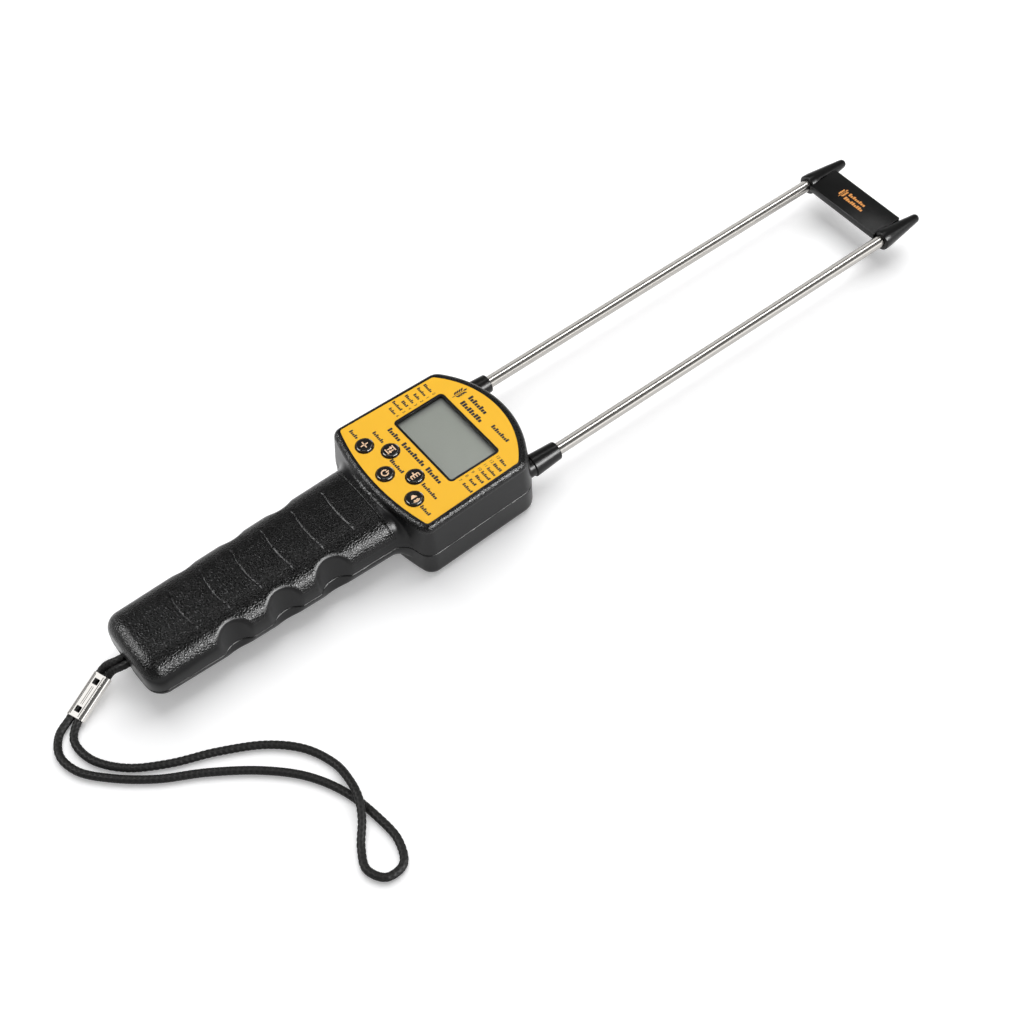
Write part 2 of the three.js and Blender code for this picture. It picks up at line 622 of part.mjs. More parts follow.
// ---------------------------------------------------------------- materials
const finish = (color, roughness, metalness = 0) => (
  new THREE.MeshStandardMaterial({ color, roughness, metalness })
);
const MATERIALS = {
  shell: finish(0x1b1b1c, 0.55),
  label: finish(0xffc428, 0.5),
  lens: new THREE.MeshStandardMaterial({ color: 0xe8efe8, roughness: 0.05, transparent: true, opacity: 0.3 }),
  lcd: finish(0x969e92, 0.4),
  board: finish(0x1d5a2e, 0.6),
  key: finish(0x0c0c0c, 0.2),
  switchBody: finish(0x2a2a2c, 0.5),
  speaker: finish(0x30302e, 0.5),
  steel: finish(0xc9c5be, 0.25, 1),
  nickel: finish(0xd8d6d2, 0.12, 1),
  brass: finish(0xb08d4a, 0.35, 1),
  sleeve: finish(0x151515, 0.6),
  cell: finish(0x2f6f4a, 0.4),
  wire: finish(0xa02020, 0.5),
  cord: finish(0x101010, 0.9),
};

// ---------------------------------------------------------------- the meter
const meter = new THREE.Group();
meter.position.y = -(TIP_Y + GRIP_END_Y) / 2;

function add(name, body, material) {
  const mesh = new THREE.Mesh(geometryOf(body), MATERIALS[material]);
  mesh.name = name;
  meter.add(mesh);
}

add('front_shell', frontShell(), 'shell');
add('rear_shell', rearShell(), 'shell');
add('battery_door', batteryDoor(), 'shell');
add('face_label', faceLabel(), 'label');
add('display_window', displayWindow(), 'lens');
add('lcd_display', lcdDisplay(), 'lcd');
add('circuit_board', circuitBoard(), 'board');
add('speaker', speaker(), 'speaker');
KEYS.forEach(([name, x, y], i) => {
  add(name, key(x, y), 'key');
  add(`key_switch_${i + 1}`, keySwitch(x, y), 'switchBody');
});
for (const [word, side] of [['left', -1], ['right', 1]]) {
  add(`${word}_probe`, probe(side), 'steel');
  add(`${word}_ferrule`, ferrule(side), 'sleeve');
  add(`${word}_probe_terminal`, probeTerminal(side), 'brass');
  add(`${word}_probe_lead`, probeLead(side), 'wire');
  add(`${word}_tip_cap`, tipCap(side), 'sleeve');
}
add('tip_bar', tipBar(), 'sleeve');

// Two rows of two cells in series: a spring at one end of each row and a plate at the other.
const headPlateY = BAY.y1 - GAP - PLATE_THICK;
const endPlateY = BAY.y0 + GAP;
const springRoom = SPRING.length + 2 * SPRING.wire + GAP;
const cellPitch = CELL.length + CELL.nubLength + GAP;
for (let i = 0; i < 2; i += 1) {
  const leftY = headPlateY - GAP - springRoom - i * cellPitch;
  const rightY = endPlateY + PLATE_THICK + GAP + springRoom + i * cellPitch;
  add(`battery_${i + 1}`, cell(-CELL.x, leftY, -1), 'cell');
  add(`battery_${i + 3}`, cell(CELL.x, rightY, 1), 'cell');
}
add('positive_contact', contactPlate(1.2, 10.6, headPlateY), 'nickel');
add('negative_contact', contactPlate(-10.6, -1.2, headPlateY), 'nickel');
add('bridge_contact', contactPlate(-10.6, 10.6, endPlateY), 'nickel');
add('battery_spring_1', batterySpring(-CELL.x, headPlateY - GAP, -1), 'nickel');
add('battery_spring_2', batterySpring(CELL.x, endPlateY + PLATE_THICK + GAP, 1), 'nickel');

SCREWS.forEach(([x, y, seat], i) => add(`case_screw_${i + 1}`, screw(x, y, seat), 'nickel'));
add('strap_pin', strapPin(), 'steel');
add('strap_clasp', strapClasp(), 'nickel');
add('strap_cord', strapCord(), 'cord');

export default meter;
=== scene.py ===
import json
import math

import bpy
import numpy as np
from mathutils import Matrix, Vector

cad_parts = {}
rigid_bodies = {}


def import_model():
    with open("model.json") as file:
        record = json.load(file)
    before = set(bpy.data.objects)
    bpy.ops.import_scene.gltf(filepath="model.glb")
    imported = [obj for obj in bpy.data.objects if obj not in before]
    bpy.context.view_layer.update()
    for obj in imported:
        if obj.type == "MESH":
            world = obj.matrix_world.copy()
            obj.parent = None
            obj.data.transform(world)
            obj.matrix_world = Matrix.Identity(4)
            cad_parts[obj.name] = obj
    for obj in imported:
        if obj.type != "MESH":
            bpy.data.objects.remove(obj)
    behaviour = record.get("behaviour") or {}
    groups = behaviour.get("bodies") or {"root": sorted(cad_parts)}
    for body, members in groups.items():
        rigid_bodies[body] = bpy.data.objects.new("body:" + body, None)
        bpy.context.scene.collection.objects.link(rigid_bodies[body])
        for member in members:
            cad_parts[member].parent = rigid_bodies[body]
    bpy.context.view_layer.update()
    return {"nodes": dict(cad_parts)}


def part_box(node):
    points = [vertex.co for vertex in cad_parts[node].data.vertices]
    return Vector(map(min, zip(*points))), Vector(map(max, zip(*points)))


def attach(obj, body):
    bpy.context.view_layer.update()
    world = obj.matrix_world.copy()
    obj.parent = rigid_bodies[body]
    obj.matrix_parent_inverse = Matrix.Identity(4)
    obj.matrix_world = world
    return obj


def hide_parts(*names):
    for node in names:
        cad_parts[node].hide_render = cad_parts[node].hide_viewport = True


# The looks of a hand-held grain moisture meter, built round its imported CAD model.
#
# Shapes are made in millimetres in "face" coordinates: x = y = 0 is the middle of the key rows,
# and z = 0 is the surface that the meter lies on. to_frame() takes them to the row frame.
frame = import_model()

MM = 0.001


def cad_mm(node):
    """A CAD node's lowest and highest corner, in millimetres, in the row frame."""
    low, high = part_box(node)
    return low / MM, high / MM


def cad_on_face(node):
    """The same corners in face coordinates."""
    return [(corner.x, corner.y - HOME_Y, corner.z) for corner in cad_mm(node)]


# ---------------- measures from the frame
KEY_ROW_Y = 0.75  # the upper keys, above the middle of the key rows
upper_key = cad_mm("button_adjust")
HOME_Y = (upper_key[0].y + upper_key[1].y) / 2 - KEY_ROW_Y
FACE_Z = cad_mm("face_label")[1].z
LABEL_THICK = FACE_Z - cad_mm("face_label")[0].z
probe_low, probe_high = cad_mm("right_probe")
AXIS_Z = (probe_low.z + probe_high.z) / 2
PROBE_X = (probe_low.x + probe_high.x) / 2
PROBE_R = (probe_high.z - probe_low.z) / 2
GRIP_END_Y = cad_on_face("front_shell")[0][1]
TIP_Y = cad_on_face("right_tip_cap")[1][1]

# ---------------- driving dimensions
GAP = 0.3
WALL = 2.2
HEAD = {
    "half_width": 36.1, "taper": 0.0255,
    "bottom_y": -18.3, "bottom_radius": 123.5, "top_y": 57.3, "top_radius": 51,
    "bottom_corner": 5, "top_corner": 7,
}
EDGE_RADIUS = 3
DRAFT = 1.4
BACK_RADIUS = 4.5
GRIP = {
    "neck_y": -23, "taper_y": -131, "half_width": (23.7, 21.8),
    "top_height": (15.5, 15.0), "back_height": (12.4, 7.8),
    "top_power": 3.1, "back_power": 2.5, "end_radius": 7, "end_dome": 0.8,
}
NECK_FILLET = {"heights": (3, 9, 18, 29), "radii": (0.8, 6, 6, 1.8)}
SCOOP = {
    "first_y": -53.3, "pitch": 25, "count": 3, "radius": 10, "edge": 0.9,
    "floor_x": 18.2, "left_less": 1.4, "floor_above_axis": 8, "lean": 0.2,
}
ARC = {
    "first_y": -35.2, "pitch": 15.95, "count": 6, "half_width": 13, "sag": 1.2, "more_sag": 0.18,
    "lit_wall": 0.85, "steep_wall": 0.12, "depth": 0.5,
}
SEAM_Y = -22.4
SEAM_LOW_Z = 24
SEAM_RADIUS = 0.4
PARTING_RADIUS = 0.32

LABEL = {
    "half_width": 33.28, "taper": 0.0314,
    "bottom_y": -14.9, "bottom_radius": 120, "top_y": 53.4, "top_radius": 47,
    "bottom_corner": 1.6, "top_corner": 2.5,
}
WINDOW = {"half_width": 22.05, "y0": 10.85, "y1": 38.7, "corner": 2.2}  # opening in the label
BEZEL_WIDTH = 1.2
KEY_R = 3.95
KEY_HOLE_R = 4.3

# ---------------- camera
VIEW_AZIMUTH = math.radians(55.5)
VIEW_ELEVATION = math.radians(53.92)
VIEW_ROLL = math.radians(-4.05)
VIEW_TARGET = Vector((0.03555, -0.04745, AXIS_Z * MM))
VIEW_DISTANCE = 0.7686
VIEW_LENS = 61.16
SENSOR = 36


def placed(name, data):
    """A new object in the scene."""
    made = bpy.data.objects.new(name, data)
    bpy.context.scene.collection.objects.link(made)
    return made


def make_camera():
    azimuth, elevation, roll = VIEW_AZIMUTH, VIEW_ELEVATION, VIEW_ROLL
    level = Vector((math.sin(azimuth), -math.cos(azimuth), 0))
    back = level * math.cos(elevation) + Vector((0, 0, math.sin(elevation)))
    right = Vector((math.cos(azimuth), math.sin(azimuth), 0))
    up = back.cross(right)
    across = right * math.cos(roll) + up * math.sin(roll)
    upward = up * math.cos(roll) - right * math.sin(roll)
    data = bpy.data.cameras.new("camera")
    data.lens = VIEW_LENS
    data.sensor_width = SENSOR
    camera = placed("camera", data)
    turn = Matrix((across, upward, back)).transposed().to_4x4()
    camera.matrix_world = Matrix.Translation(VIEW_TARGET + back * VIEW_DISTANCE) @ turn
    bpy.context.scene.camera = camera


make_camera()


# ---------------- meshes
def to_frame(vertices):
    """Face coordinates in millimetres to the row frame in metres."""
    return (np.asarray(vertices, float).reshape(-1, 3) + (0, HOME_Y, 0)) * MM


def new_object(name, vertices, faces):
    mesh = bpy.data.meshes.new(name)
    mesh.from_pydata(to_frame(vertices).tolist(), [], [list(map(int, f)) for f in faces])
    mesh.update()
    return placed(name, mesh)


def outward(made):
    """Turns the faces of a closed mesh so that they face out."""
    mesh = made.data
    mesh.calc_loop_triangles()
    spots = np.array([v.co for v in mesh.vertices])
    corners = np.array([t.vertices for t in mesh.loop_triangles])
    a, b, c = spots[corners[:, 0]], spots[corners[:, 1]], spots[corners[:, 2]]
    if np.einsum("ij,ij->", a, np.cross(b, c)) < 0:
        mesh.flip_normals()
    return made


def loft(name, rings, hoop=False):
    """A closed solid through rings of points. A hoop's last ring joins its first."""
    count = len(rings[0])
    total = len(rings)
    faces = []
    for r in range(total if hoop else total - 1):
        for i in range(count):
            j = (i + 1) % count
            near, far = r * count, (r + 1) % total * count
            faces.append((near + i, near + j, far + j, far + i))
    if not hoop:
        faces.append(tuple(reversed(range(count))))
        faces.append(tuple(range((total - 1) * count, total * count)))
    return outward(new_object(name, np.concatenate([np.asarray(r) for r in rings]), faces))


TINY = 1e-4  # the radius of a turned piece on its axis


def circle(radius, x, y, sides):
    turn = np.arange(sides) / sides * math.tau
    return np.stack([x + radius * np.cos(turn), y + radius * np.sin(turn)], 1)


def at_height(loop, z):
    return np.column_stack([loop, np.full(len(loop), z)])


def prism(name, loop, z0, z1):
    return loft(name, [at_height(loop, z0), at_height(loop, z1)])


def block(name, x0, x1, y0, y1, z0, z1):
    return prism(name, [(x0, y0), (x1, y0), (x1, y1), (x0, y1)], z0, z1)


def cad_block(name, node):
    """A block as large as a CAD node."""
    (x0, y0, z0), (x1, y1, z1) = cad_on_face(node)
    return block(name, x0, x1, y0, y1, z0, z1)


def turned(name, profile, x=0.0, across=0.0, sides=48, along_y=False, hoop=False):
    """A turned piece: profile points are (radius, place along the axis). The axis stands at x and
    y = across, or runs along Y at x and z = across."""
    rings = [at_height(circle(max(radius, TINY), x, across, sides), place) for radius, place in profile]
    if along_y:
        rings = [ring[:, (0, 2, 1)] for ring in rings]
    return loft(name, rings, hoop)


def rounded(points, radius, steps=4):
    """A profile with its inner corners rounded."""
    points = [np.asarray(p, float) for p in points]
    out = [points[0]]
    for before, corner, after in zip(points, points[1:], points[2:]):
        reach = min(radius, np.linalg.norm(before - corner) / 2, np.linalg.norm(after - corner) / 2)
        start = corner + (before - corner) / np.linalg.norm(before - corner) * reach
        end = corner + (after - corner) / np.linalg.norm(after - corner) * reach
        for t in np.linspace(0, 1, steps):
            out.append((1 - t) ** 2 * start + 2 * t * (1 - t) * corner + t * t * end)
    out.append(points[-1])
    return out


def evaluated(made):
    """The mesh that an object's modifiers or its curve make."""
    bpy.context.view_layer.update()
    return bpy.data.meshes.new_from_object(made.evaluated_get(bpy.context.evaluated_depsgraph_get()))


def modifiers_applied(made):
    mesh = evaluated(made)
    made.modifiers.clear()
    made.data = mesh
    return made


def boolean(target, tools, operation):
    for tool in tools:
        cutter = target.modifiers.new("boolean", "BOOLEAN")
        cutter.object = tool
        cutter.operation = operation
        cutter.solver = "MANIFOLD"
    modifiers_applied(target)
    for tool in tools:
        bpy.data.objects.remove(tool)
    return target


def cut(target, *tools):
    return boolean(target, tools, "DIFFERENCE")


def kept_inside(target, limit):
    return boolean(target, [limit], "INTERSECT")


def bevelled(made, width):
    edge = made.modifiers.new("bevel", "BEVEL")
    edge.width = width * MM
    edge.segments = 3
    edge.limit_method = "ANGLE"
    return modifiers_applied(made)


def solid_curve(name, curve, x, y, z):
    """A curve's solid, moved to a place on the face."""
    shape = placed(name, curve)
    mesh = evaluated(shape)
    mesh.transform(Matrix.Translation(to_frame((x, y, z))[0]))
    bpy.data.objects.remove(shape)
    return placed(name, mesh)


def copy_of(made):
    return placed(made.name, made.data.copy())


def joined(name, parts):
    """One object from several, without joining their surfaces."""
    vertices, faces = [], []
    for part in parts:
        start = len(vertices)
        vertices += [v.co.copy() for v in part.data.vertices]
        faces += [[start + i for i in p.vertices] for p in part.data.polygons]
        bpy.data.objects.remove(part)
    mesh = bpy.data.meshes.new(name)
    mesh.from_pydata(vertices, [], faces)
    return placed(name, mesh)


def smooth(made, angle=35):
    made.data.polygons.foreach_set("use_smooth", [True] * len(made.data.polygons))
    made.data.set_sharp_from_angle(angle=math.radians(angle))
    return made


def dress(made, look, body, slot, *nodes):
    """Gives a piece its material, its body and the CAD nodes that it stands for, which it hides. The slot
    argument is not used.
    """
    made.data.materials.clear()
    made.data.materials.append(MATERIALS[look])
    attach(made, body)
    if nodes:
        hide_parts(*nodes)
    return made


# ---------------- outlines
def outline(spec, offset=0.0, steps=12):
    """The outline of the head or the label: two arcs, two tapered sides and four round corners."""
    slope = math.atan(spec["taper"])
    nx, ny = math.cos(slope), math.sin(slope)

    def arc(centre, radius, start, end, count):
        turn = np.linspace(start, end, count + 1)
        return np.stack([centre[0] + radius * np.cos(turn), centre[1] + radius * np.sin(turn)], 1)

    def corner(arc_y, arc_radius, radius, side):
        depth = spec["half_width"] * nx - radius - ny * arc_y
        along = side * math.sqrt((arc_radius - radius) ** 2 - depth ** 2)
        return nx * depth - ny * along, arc_y + ny * depth + nx * along

    bottom = (0, spec["bottom_y"] + spec["bottom_radius"])
    top = (0, spec["top_y"] - spec["top_radius"])
    low = corner(bottom[1], spec["bottom_radius"], spec["bottom_corner"], -1)
    high = corner(top[1], spec["top_radius"], spec["top_corner"], 1)
    low_turn = math.atan2(low[1] - bottom[1], low[0])
    high_turn = math.atan2(high[1] - top[1], high[0])
    right = np.concatenate([
        arc(bottom, spec["bottom_radius"] + offset, -math.pi / 2, low_turn, steps),
        arc(low, spec["bottom_corner"] + offset, low_turn, slope, steps)[1:],
        arc(high, spec["top_corner"] + offset, slope, high_turn, steps),
        arc(top, spec["top_radius"] + offset, high_turn, math.pi / 2, 2 * steps)[1:],
    ])
    left = right[1:-1][::-1] * (-1, 1)
    return np.concatenate([right, left])


def rounded_rectangle(half_width, y0, y1, corner, steps=8):
    loop = []
    for quarter, (x, y) in enumerate([
        (half_width - corner, y1 - corner), (corner - half_width, y1 - corner),
        (corner - half_width, y0 + corner), (half_width - corner, y0 + corner),
    ]):
        for turn in np.linspace(quarter, quarter + 1, steps + 1) * math.pi / 2:
            loop.append((x + corner * math.cos(turn), y + corner * math.sin(turn)))
    return np.array(loop)


def window_outline(inset=0.0):
    corner = max(WINDOW["corner"] - inset, 0.5)
    return rounded_rectangle(
        WINDOW["half_width"] - inset, WINDOW["y0"] + inset, WINDOW["y1"] - inset, corner)


def rounded_rectangle_at(x0, x1, y0, y1, corner):
    loop = rounded_rectangle((x1 - x0) / 2, y0, y1, corner, 3)
    return loop + ((x0 + x1) / 2, 0)


# ---------------- materials
def node(tree, kind, values=(), **settings):
    made = tree.nodes.new("ShaderNode" + kind)
    for key, value in settings.items():
        setattr(made, key, value)
    for key, value in dict(values).items():
        if isinstance(value, bpy.types.NodeSocket):
            tree.links.new(value, made.inputs[key])
        else:
            made.inputs[key].default_value = value
    return made


def maths(tree, operation, a, b=0.0, clamp=False):
    return node(tree, "Math", {0: a, 1: b}, operation=operation, use_clamp=clamp).outputs[0]


def weighted(tree, *terms):
    """The sum of two values, each times its weight."""
    first, second = (maths(tree, "MULTIPLY", value, weight) for value, weight in terms)
    return maths(tree, "ADD", first, second)


def blend_colours(tree, share, a, b):
    mix = node(tree, "Mix", {"Factor": share}, data_type="RGBA")
    for number, colour in ((6, a), (7, b)):
        if isinstance(colour, bpy.types.NodeSocket):
            tree.links.new(colour, mix.inputs[number])
        else:
            mix.inputs[number].default_value = (*colour, 1)
    return mix.outputs[2]


def span(tree, value, low, high):
    """A value from 0 to 1 spread from low to high."""
    return node(tree, "MapRange", {"Value": value, "To Min": low, "To Max": high}).outputs[0]


def places(tree, stretch=(1, 1, 1)):
    """Places on the object in millimetres, for textures at their real size."""
    found = node(tree, "TexCoord").outputs["Object"]
    return node(tree, "Mapping", {"Vector": found, "Scale": [s / MM for s in stretch]}).outputs[0]


def noise(tree, where, size, detail=3.0):
    """Noise from 0 to 1 whose blotches are about size millimetres across."""
    return node(tree, "TexNoise", {"Vector": where, "Scale": 1 / size, "Detail": detail}).outputs["Fac"]


def new_material(name, metallic=0.0, **sockets):
    material = bpy.data.materials.new(name)
    material.use_nodes = True
    tree = material.node_tree
    surface = tree.nodes["Principled BSDF"]
    surface.inputs["Metallic"].default_value = metallic
    for key, value in sockets.items():
        surface.inputs[key.replace("_", " ").title().replace("Ior", "IOR")].default_value = value
    return material, tree, surface


def finish_material(tree, surface, colour, roughness, height=None, depth=0.05):
    """Joins colour, roughness and bump; depth is the bump's in millimetres."""
    tree.links.new(colour, surface.inputs["Base Color"])
    tree.links.new(roughness, surface.inputs["Roughness"])
    if height is not None:
        bump = node(tree, "Bump", {"Height": height, "Distance": depth * MM, "Strength": 1.0})
        tree.links.new(bump.outputs[0], surface.inputs["Normal"])


def plastic(name, dark, light, roughness, speck=0.25, depth=0.012, **sockets):
    """Moulded plastic: faint blotches of colour, fine specks in its gloss and a fine orange peel."""
    material, tree, surface = new_material(name, **sockets)
    where = places(tree)
    broad, fine = noise(tree, where, 9), noise(tree, where, speck, 2)
    colour = blend_colours(tree, broad, dark, light)
    shine = span(tree, weighted(tree, (broad, 0.4), (fine, 0.6)), roughness - 0.06, roughness + 0.06)
    finish_material(tree, surface, colour, shine, fine, depth)
    return material


SATIN_SPREAD = (0.28, 0.34)  # lowest and highest roughness
SATIN_ROUGHNESS = sum(SATIN_SPREAD) / 2
GRAIN_SPREAD = (0.34, 0.2)  # roughness between the pebbles and on them
GRAIN_DEPTH = 0.14
PEBBLES_PER_MM = 0.85


def shell_plastic():
    """Black plastic, satin where the grain attribute is 0 and leather-grained where it is 1, with a painted
    glint on each pebble top and painted shade in the creases between them.
    """
    material, tree, surface = new_material("shell_plastic", specular_ior_level=0.3)
    where = places(tree)
    grained = node(tree, "Attribute", attribute_name="grain").outputs["Fac"]
    cells = node(tree, "TexVoronoi", {"Vector": where, "Scale": PEBBLES_PER_MM}, feature="DISTANCE_TO_EDGE")
    pebbles = node(tree, "MapRange", {"Value": cells.outputs["Distance"], "From Max": 0.3},
                   interpolation_type="SMOOTHSTEP").outputs[0]
    swell, fine = noise(tree, where, 0.9, 1), noise(tree, where, 0.2, 2)
    leather = weighted(tree, (pebbles, 0.5), (swell, 0.9))
    height = weighted(tree, (leather, grained), (fine, 0.05))
    broad = noise(tree, where, 14)
    smooth_colour = blend_colours(tree, broad, (0.002, 0.002, 0.0024), (0.0035, 0.0035, 0.004))
    # painted glints: the pebble tops are painted lighter and the creases between them darker
    grain_black_with_painted_glints = blend_colours(tree, pebbles, (0.0003, 0.0003, 0.0003), (0.0015, 0.0015, 0.0015))
    colour = blend_colours(tree, grained, smooth_colour, grain_black_with_painted_glints)
    change = maths(tree, "SUBTRACT", span(tree, pebbles, *GRAIN_SPREAD), SATIN_ROUGHNESS)
    shine = weighted(tree, (change, grained), (span(tree, broad, *SATIN_SPREAD), 1))
    finish_material(tree, surface, colour, shine, height, GRAIN_DEPTH)
    return material


def steel(name, tint, roughness, stretch):
    """Bright drawn metal, with streaks along its length."""
    material, tree, surface = new_material(name, metallic=1.0)
    where = places(tree, stretch)
    streaks = noise(tree, where, 0.6, 2)
    broad = noise(tree, places(tree), 12)
    dull = tuple(0.93 * c for c in tint)
    colour = blend_colours(tree, streaks, dull, tint)
    shine = span(tree, weighted(tree, (streaks, 0.7), (broad, 0.3)), roughness * 0.8, roughness * 1.2)
    finish_material(tree, surface, colour, shine)
    return material


def cord_cloth():
    """Black braid: fine threads, shinier on the ribs that stand out, with a painted highlight on the ribs and
    painted shade in the grooves between them.
    """
    material, tree, surface = new_material("cord_cloth", specular_ior_level=0.2)
    where = places(tree)
    threads = noise(tree, where, 0.25, 2)
    raised = node(tree, "Attribute", attribute_name="relief").outputs["Fac"]
    # painted highlight on the raised ribs and painted shade between them; the same value also makes the ribs
    # shinier
    rib_painted_light_and_gloss = maths(tree, "MULTIPLY", raised, span(tree, threads, 0.5, 1.2), clamp=True)
    colour = blend_colours(tree, rib_painted_light_and_gloss, (0.0003, 0.0003, 0.0003), (0.01, 0.0095, 0.009))
    finish_material(tree, surface, colour, span(tree, rib_painted_light_and_gloss, 0.75, 0.42), threads, 0.05)
    return material


def label_film():
    """Printed yellow film."""
    material, tree, surface = new_material("label_film", specular_ior_level=0.3)
    where = places(tree)
    broad = noise(tree, where, 25)
    colour = blend_colours(tree, broad, (0.83, 0.44, 0.002), (0.87, 0.465, 0.003))
    finish_material(tree, surface, colour, span(tree, broad, 0.36, 0.46), noise(tree, where, 0.3, 2), 0.004)
    return material


def display_glass():
    material, tree, surface = new_material("display_glass", alpha=0.10, specular_ior_level=0.3)
    where = places(tree)
    colour = blend_colours(tree, noise(tree, where, 30), (0.9, 0.93, 0.9), (0.96, 0.98, 0.96))
    finish_material(tree, surface, colour, span(tree, noise(tree, where, 12), 0.02, 0.03))
    return material


MATERIALS = {
    "shell": shell_plastic(),
    "label": label_film(),
    "print": plastic("label_ink", (0.004, 0.003, 0.003), (0.008, 0.007, 0.006), 0.5),
    "lens": display_glass(),
    "lcd": plastic("liquid_crystal", (0.135, 0.15, 0.117), (0.146, 0.162, 0.127), 0.3, 0.8, 0.002),
    "board": plastic("board_green", (0.010, 0.075, 0.022), (0.016, 0.11, 0.035), 0.4),
    "key": plastic("key_gloss", (0.004, 0.004, 0.004), (0.008, 0.008, 0.008), 0.13, 0.5, 0.002,
                   coat_weight=0.6, coat_roughness=0.08),
    "key_print": plastic("key_print", (0.75, 0.48, 0.29), (0.82, 0.55, 0.34), 0.45),
    "switch": plastic("switch_plastic", (0.02, 0.02, 0.022), (0.035, 0.035, 0.037), 0.5),
    "speaker": plastic("speaker_cone", (0.02, 0.02, 0.02), (0.035, 0.035, 0.035), 0.6),
    "steel": steel("drawn_steel", (0.48, 0.463, 0.438), 0.24, (1, 0.004, 1)),
    "nickel": steel("bright_nickel", (0.74, 0.72, 0.69), 0.16, (1, 0.2, 1)),
    "brass": steel("brass", (0.72, 0.52, 0.24), 0.25, (1, 1, 0.2)),
    "sleeve": plastic("sleeve_plastic", (0.001, 0.001, 0.001), (0.003, 0.003, 0.003), 0.3, 0.3, 0.02,
                      specular_ior_level=0.3),
    "cell": plastic("battery_jacket", (0.01, 0.09, 0.04), (0.015, 0.13, 0.055), 0.3),
    "wire": plastic("wire_red", (0.35, 0.015, 0.012), (0.45, 0.025, 0.02), 0.4),
    "cord": cord_cloth(),
    "accent": plastic("orange_print", (0.62, 0.23, 0.03), (0.70, 0.28, 0.04), 0.45),
}

# ---------------- strap
CORD_DIAMETER = 3.7
# The loop's centre line in metres, in face coordinates: from the pin round the loop and back.
CORD_ROUTE = [
    (-0.0044, -0.1410, 0.0158), (-0.0052, -0.1470, 0.0152), (-0.0089, -0.1520, 0.0110),
    (-0.0097, -0.1552, 0.0079), (-0.0056, -0.1656, 0.0052), (-0.0014, -0.1762, 0.0027),
    (0.0025, -0.1838, 0.0020), (0.0110, -0.1883, 0.0020), (0.0220, -0.1862, 0.0020),
    (0.0342, -0.1764, 0.0020), (0.0463, -0.1620, 0.0020), (0.0571, -0.1438, 0.0020),
    (0.0705, -0.1258, 0.0020), (0.0846, -0.1126, 0.0020), (0.1003, -0.1044, 0.0020),
    (0.1180, -0.1004, 0.0020), (0.1320, -0.0998, 0.0020), (0.1414, -0.1044, 0.0020),
    (0.1416, -0.1128, 0.0020), (0.1340, -0.1170, 0.0020), (0.1250, -0.1134, 0.0021),
    (0.1158, -0.1063, 0.0045), (0.1077, -0.1022, 0.0059), (0.0980, -0.1003, 0.0045),
    (0.0872, -0.1003, 0.0021), (0.0740, -0.1058, 0.0020), (0.0622, -0.1170, 0.0020),
    (0.0516, -0.1352, 0.0020), (0.0434, -0.1542, 0.0020), (0.0335, -0.1696, 0.0020),
    (0.0205, -0.1790, 0.0020), (0.0086, -0.1800, 0.0020), (0.0024, -0.1747, 0.0027),
    (-0.0018, -0.1641, 0.0052), (-0.0059, -0.1537, 0.0079), (-0.0053, -0.1510, 0.0104),
    (-0.0015, -0.1470, 0.0150), (-0.0003, -0.1410, 0.0158),
]


def run_lengths(points, power=1.0):
    """How far along a path each of its points is."""
    return np.concatenate([[0], np.cumsum(np.linalg.norm(np.diff(points, axis=0), axis=1) ** power)])


def part_way(a, b, start, end, u):
    """From a, where u is start, to b, where u is end."""
    return (end - u) / (end - start) * a + (u - start) / (end - start) * b


def smooth_route(points, step):
    """Points a step apart on a smooth curve through the route (a centripetal Catmull-Rom curve)."""
    points = np.asarray(points, float)
    points = np.concatenate([[2 * points[0] - points[1]], points, [2 * points[-1] - points[-2]]])
    found = []
    for p in (points[i:i + 4] for i in range(len(points) - 3)):
        t = run_lengths(p, 0.5)
        u = np.linspace(t[1], t[2], 25)[:-1, None]
        a = [part_way(p[k], p[k + 1], t[k], t[k + 1], u) for k in range(3)]
        b = [part_way(a[k], a[k + 1], t[k], t[k + 2], u) for k in range(2)]
        found.append(part_way(b[0], b[1], t[1], t[2], u))
    found = np.concatenate([*found, points[-2:-1]])
    lengths = run_lengths(found)
    places_along = np.linspace(0, lengths[-1], int(lengths[-1] / step) + 1)
    return np.stack([np.interp(places_along, lengths, found[:, k]) for k in range(3)], 1)


BRAID = {"ribs": 4, "pitch": 2.4, "height": 0.3}


def braid(turn, along):
    """How far a braid's ribs stand out, from 0 to 1: two sets that wind opposite ways."""
    one = np.sin(BRAID["ribs"] * turn + along / BRAID["pitch"] * math.tau)
    other = np.sin(BRAID["ribs"] * turn - along / BRAID["pitch"] * math.tau)
    return (1 + np.maximum(one, other)) / 2


def braided_tube(name, path, radius, sides):
    """A braided cord along a path, and how raised each of its points is."""
    ahead = np.gradient(path, axis=0)
    ahead /= np.linalg.norm(ahead, axis=1)[:, None]
    side = np.cross(ahead[0], (0, 0, 1))
    turn = np.arange(sides) / sides * math.tau
    rings, raised = [], []
    for point, direction, distance in zip(path, ahead, run_lengths(path)):
        side = side - direction * (side @ direction)
        side /= np.linalg.norm(side)
        up = np.cross(direction, side)
        ribs = braid(turn, distance)
        reach = radius - BRAID["height"] * (1 - ribs)
        rings.append(point + np.outer(np.cos(turn) * reach, side) + np.outer(np.sin(turn) * reach, up))
        raised.append(ribs)
    made = loft(name, rings)
    relief = made.data.attributes.new("relief", "FLOAT", "POINT")
    relief.data.foreach_set("value", np.concatenate(raised).astype(np.float32))
    return made


def make_cord():
    path = smooth_route(CORD_ROUTE, 0.00042)
    made = braided_tube("strap_braid", path / MM, CORD_DIAMETER / 2, 32)
    row_path = path + (0, HOME_Y * MM, 0)
    return made, row_path


CLASP = {
    "near": (-7.5, -155.2, 7.5), "far": (0.1, -174.45, 2.9),
    "width": 9.1, "height": 5, "wall": 0.4, "window": 2.8,
}


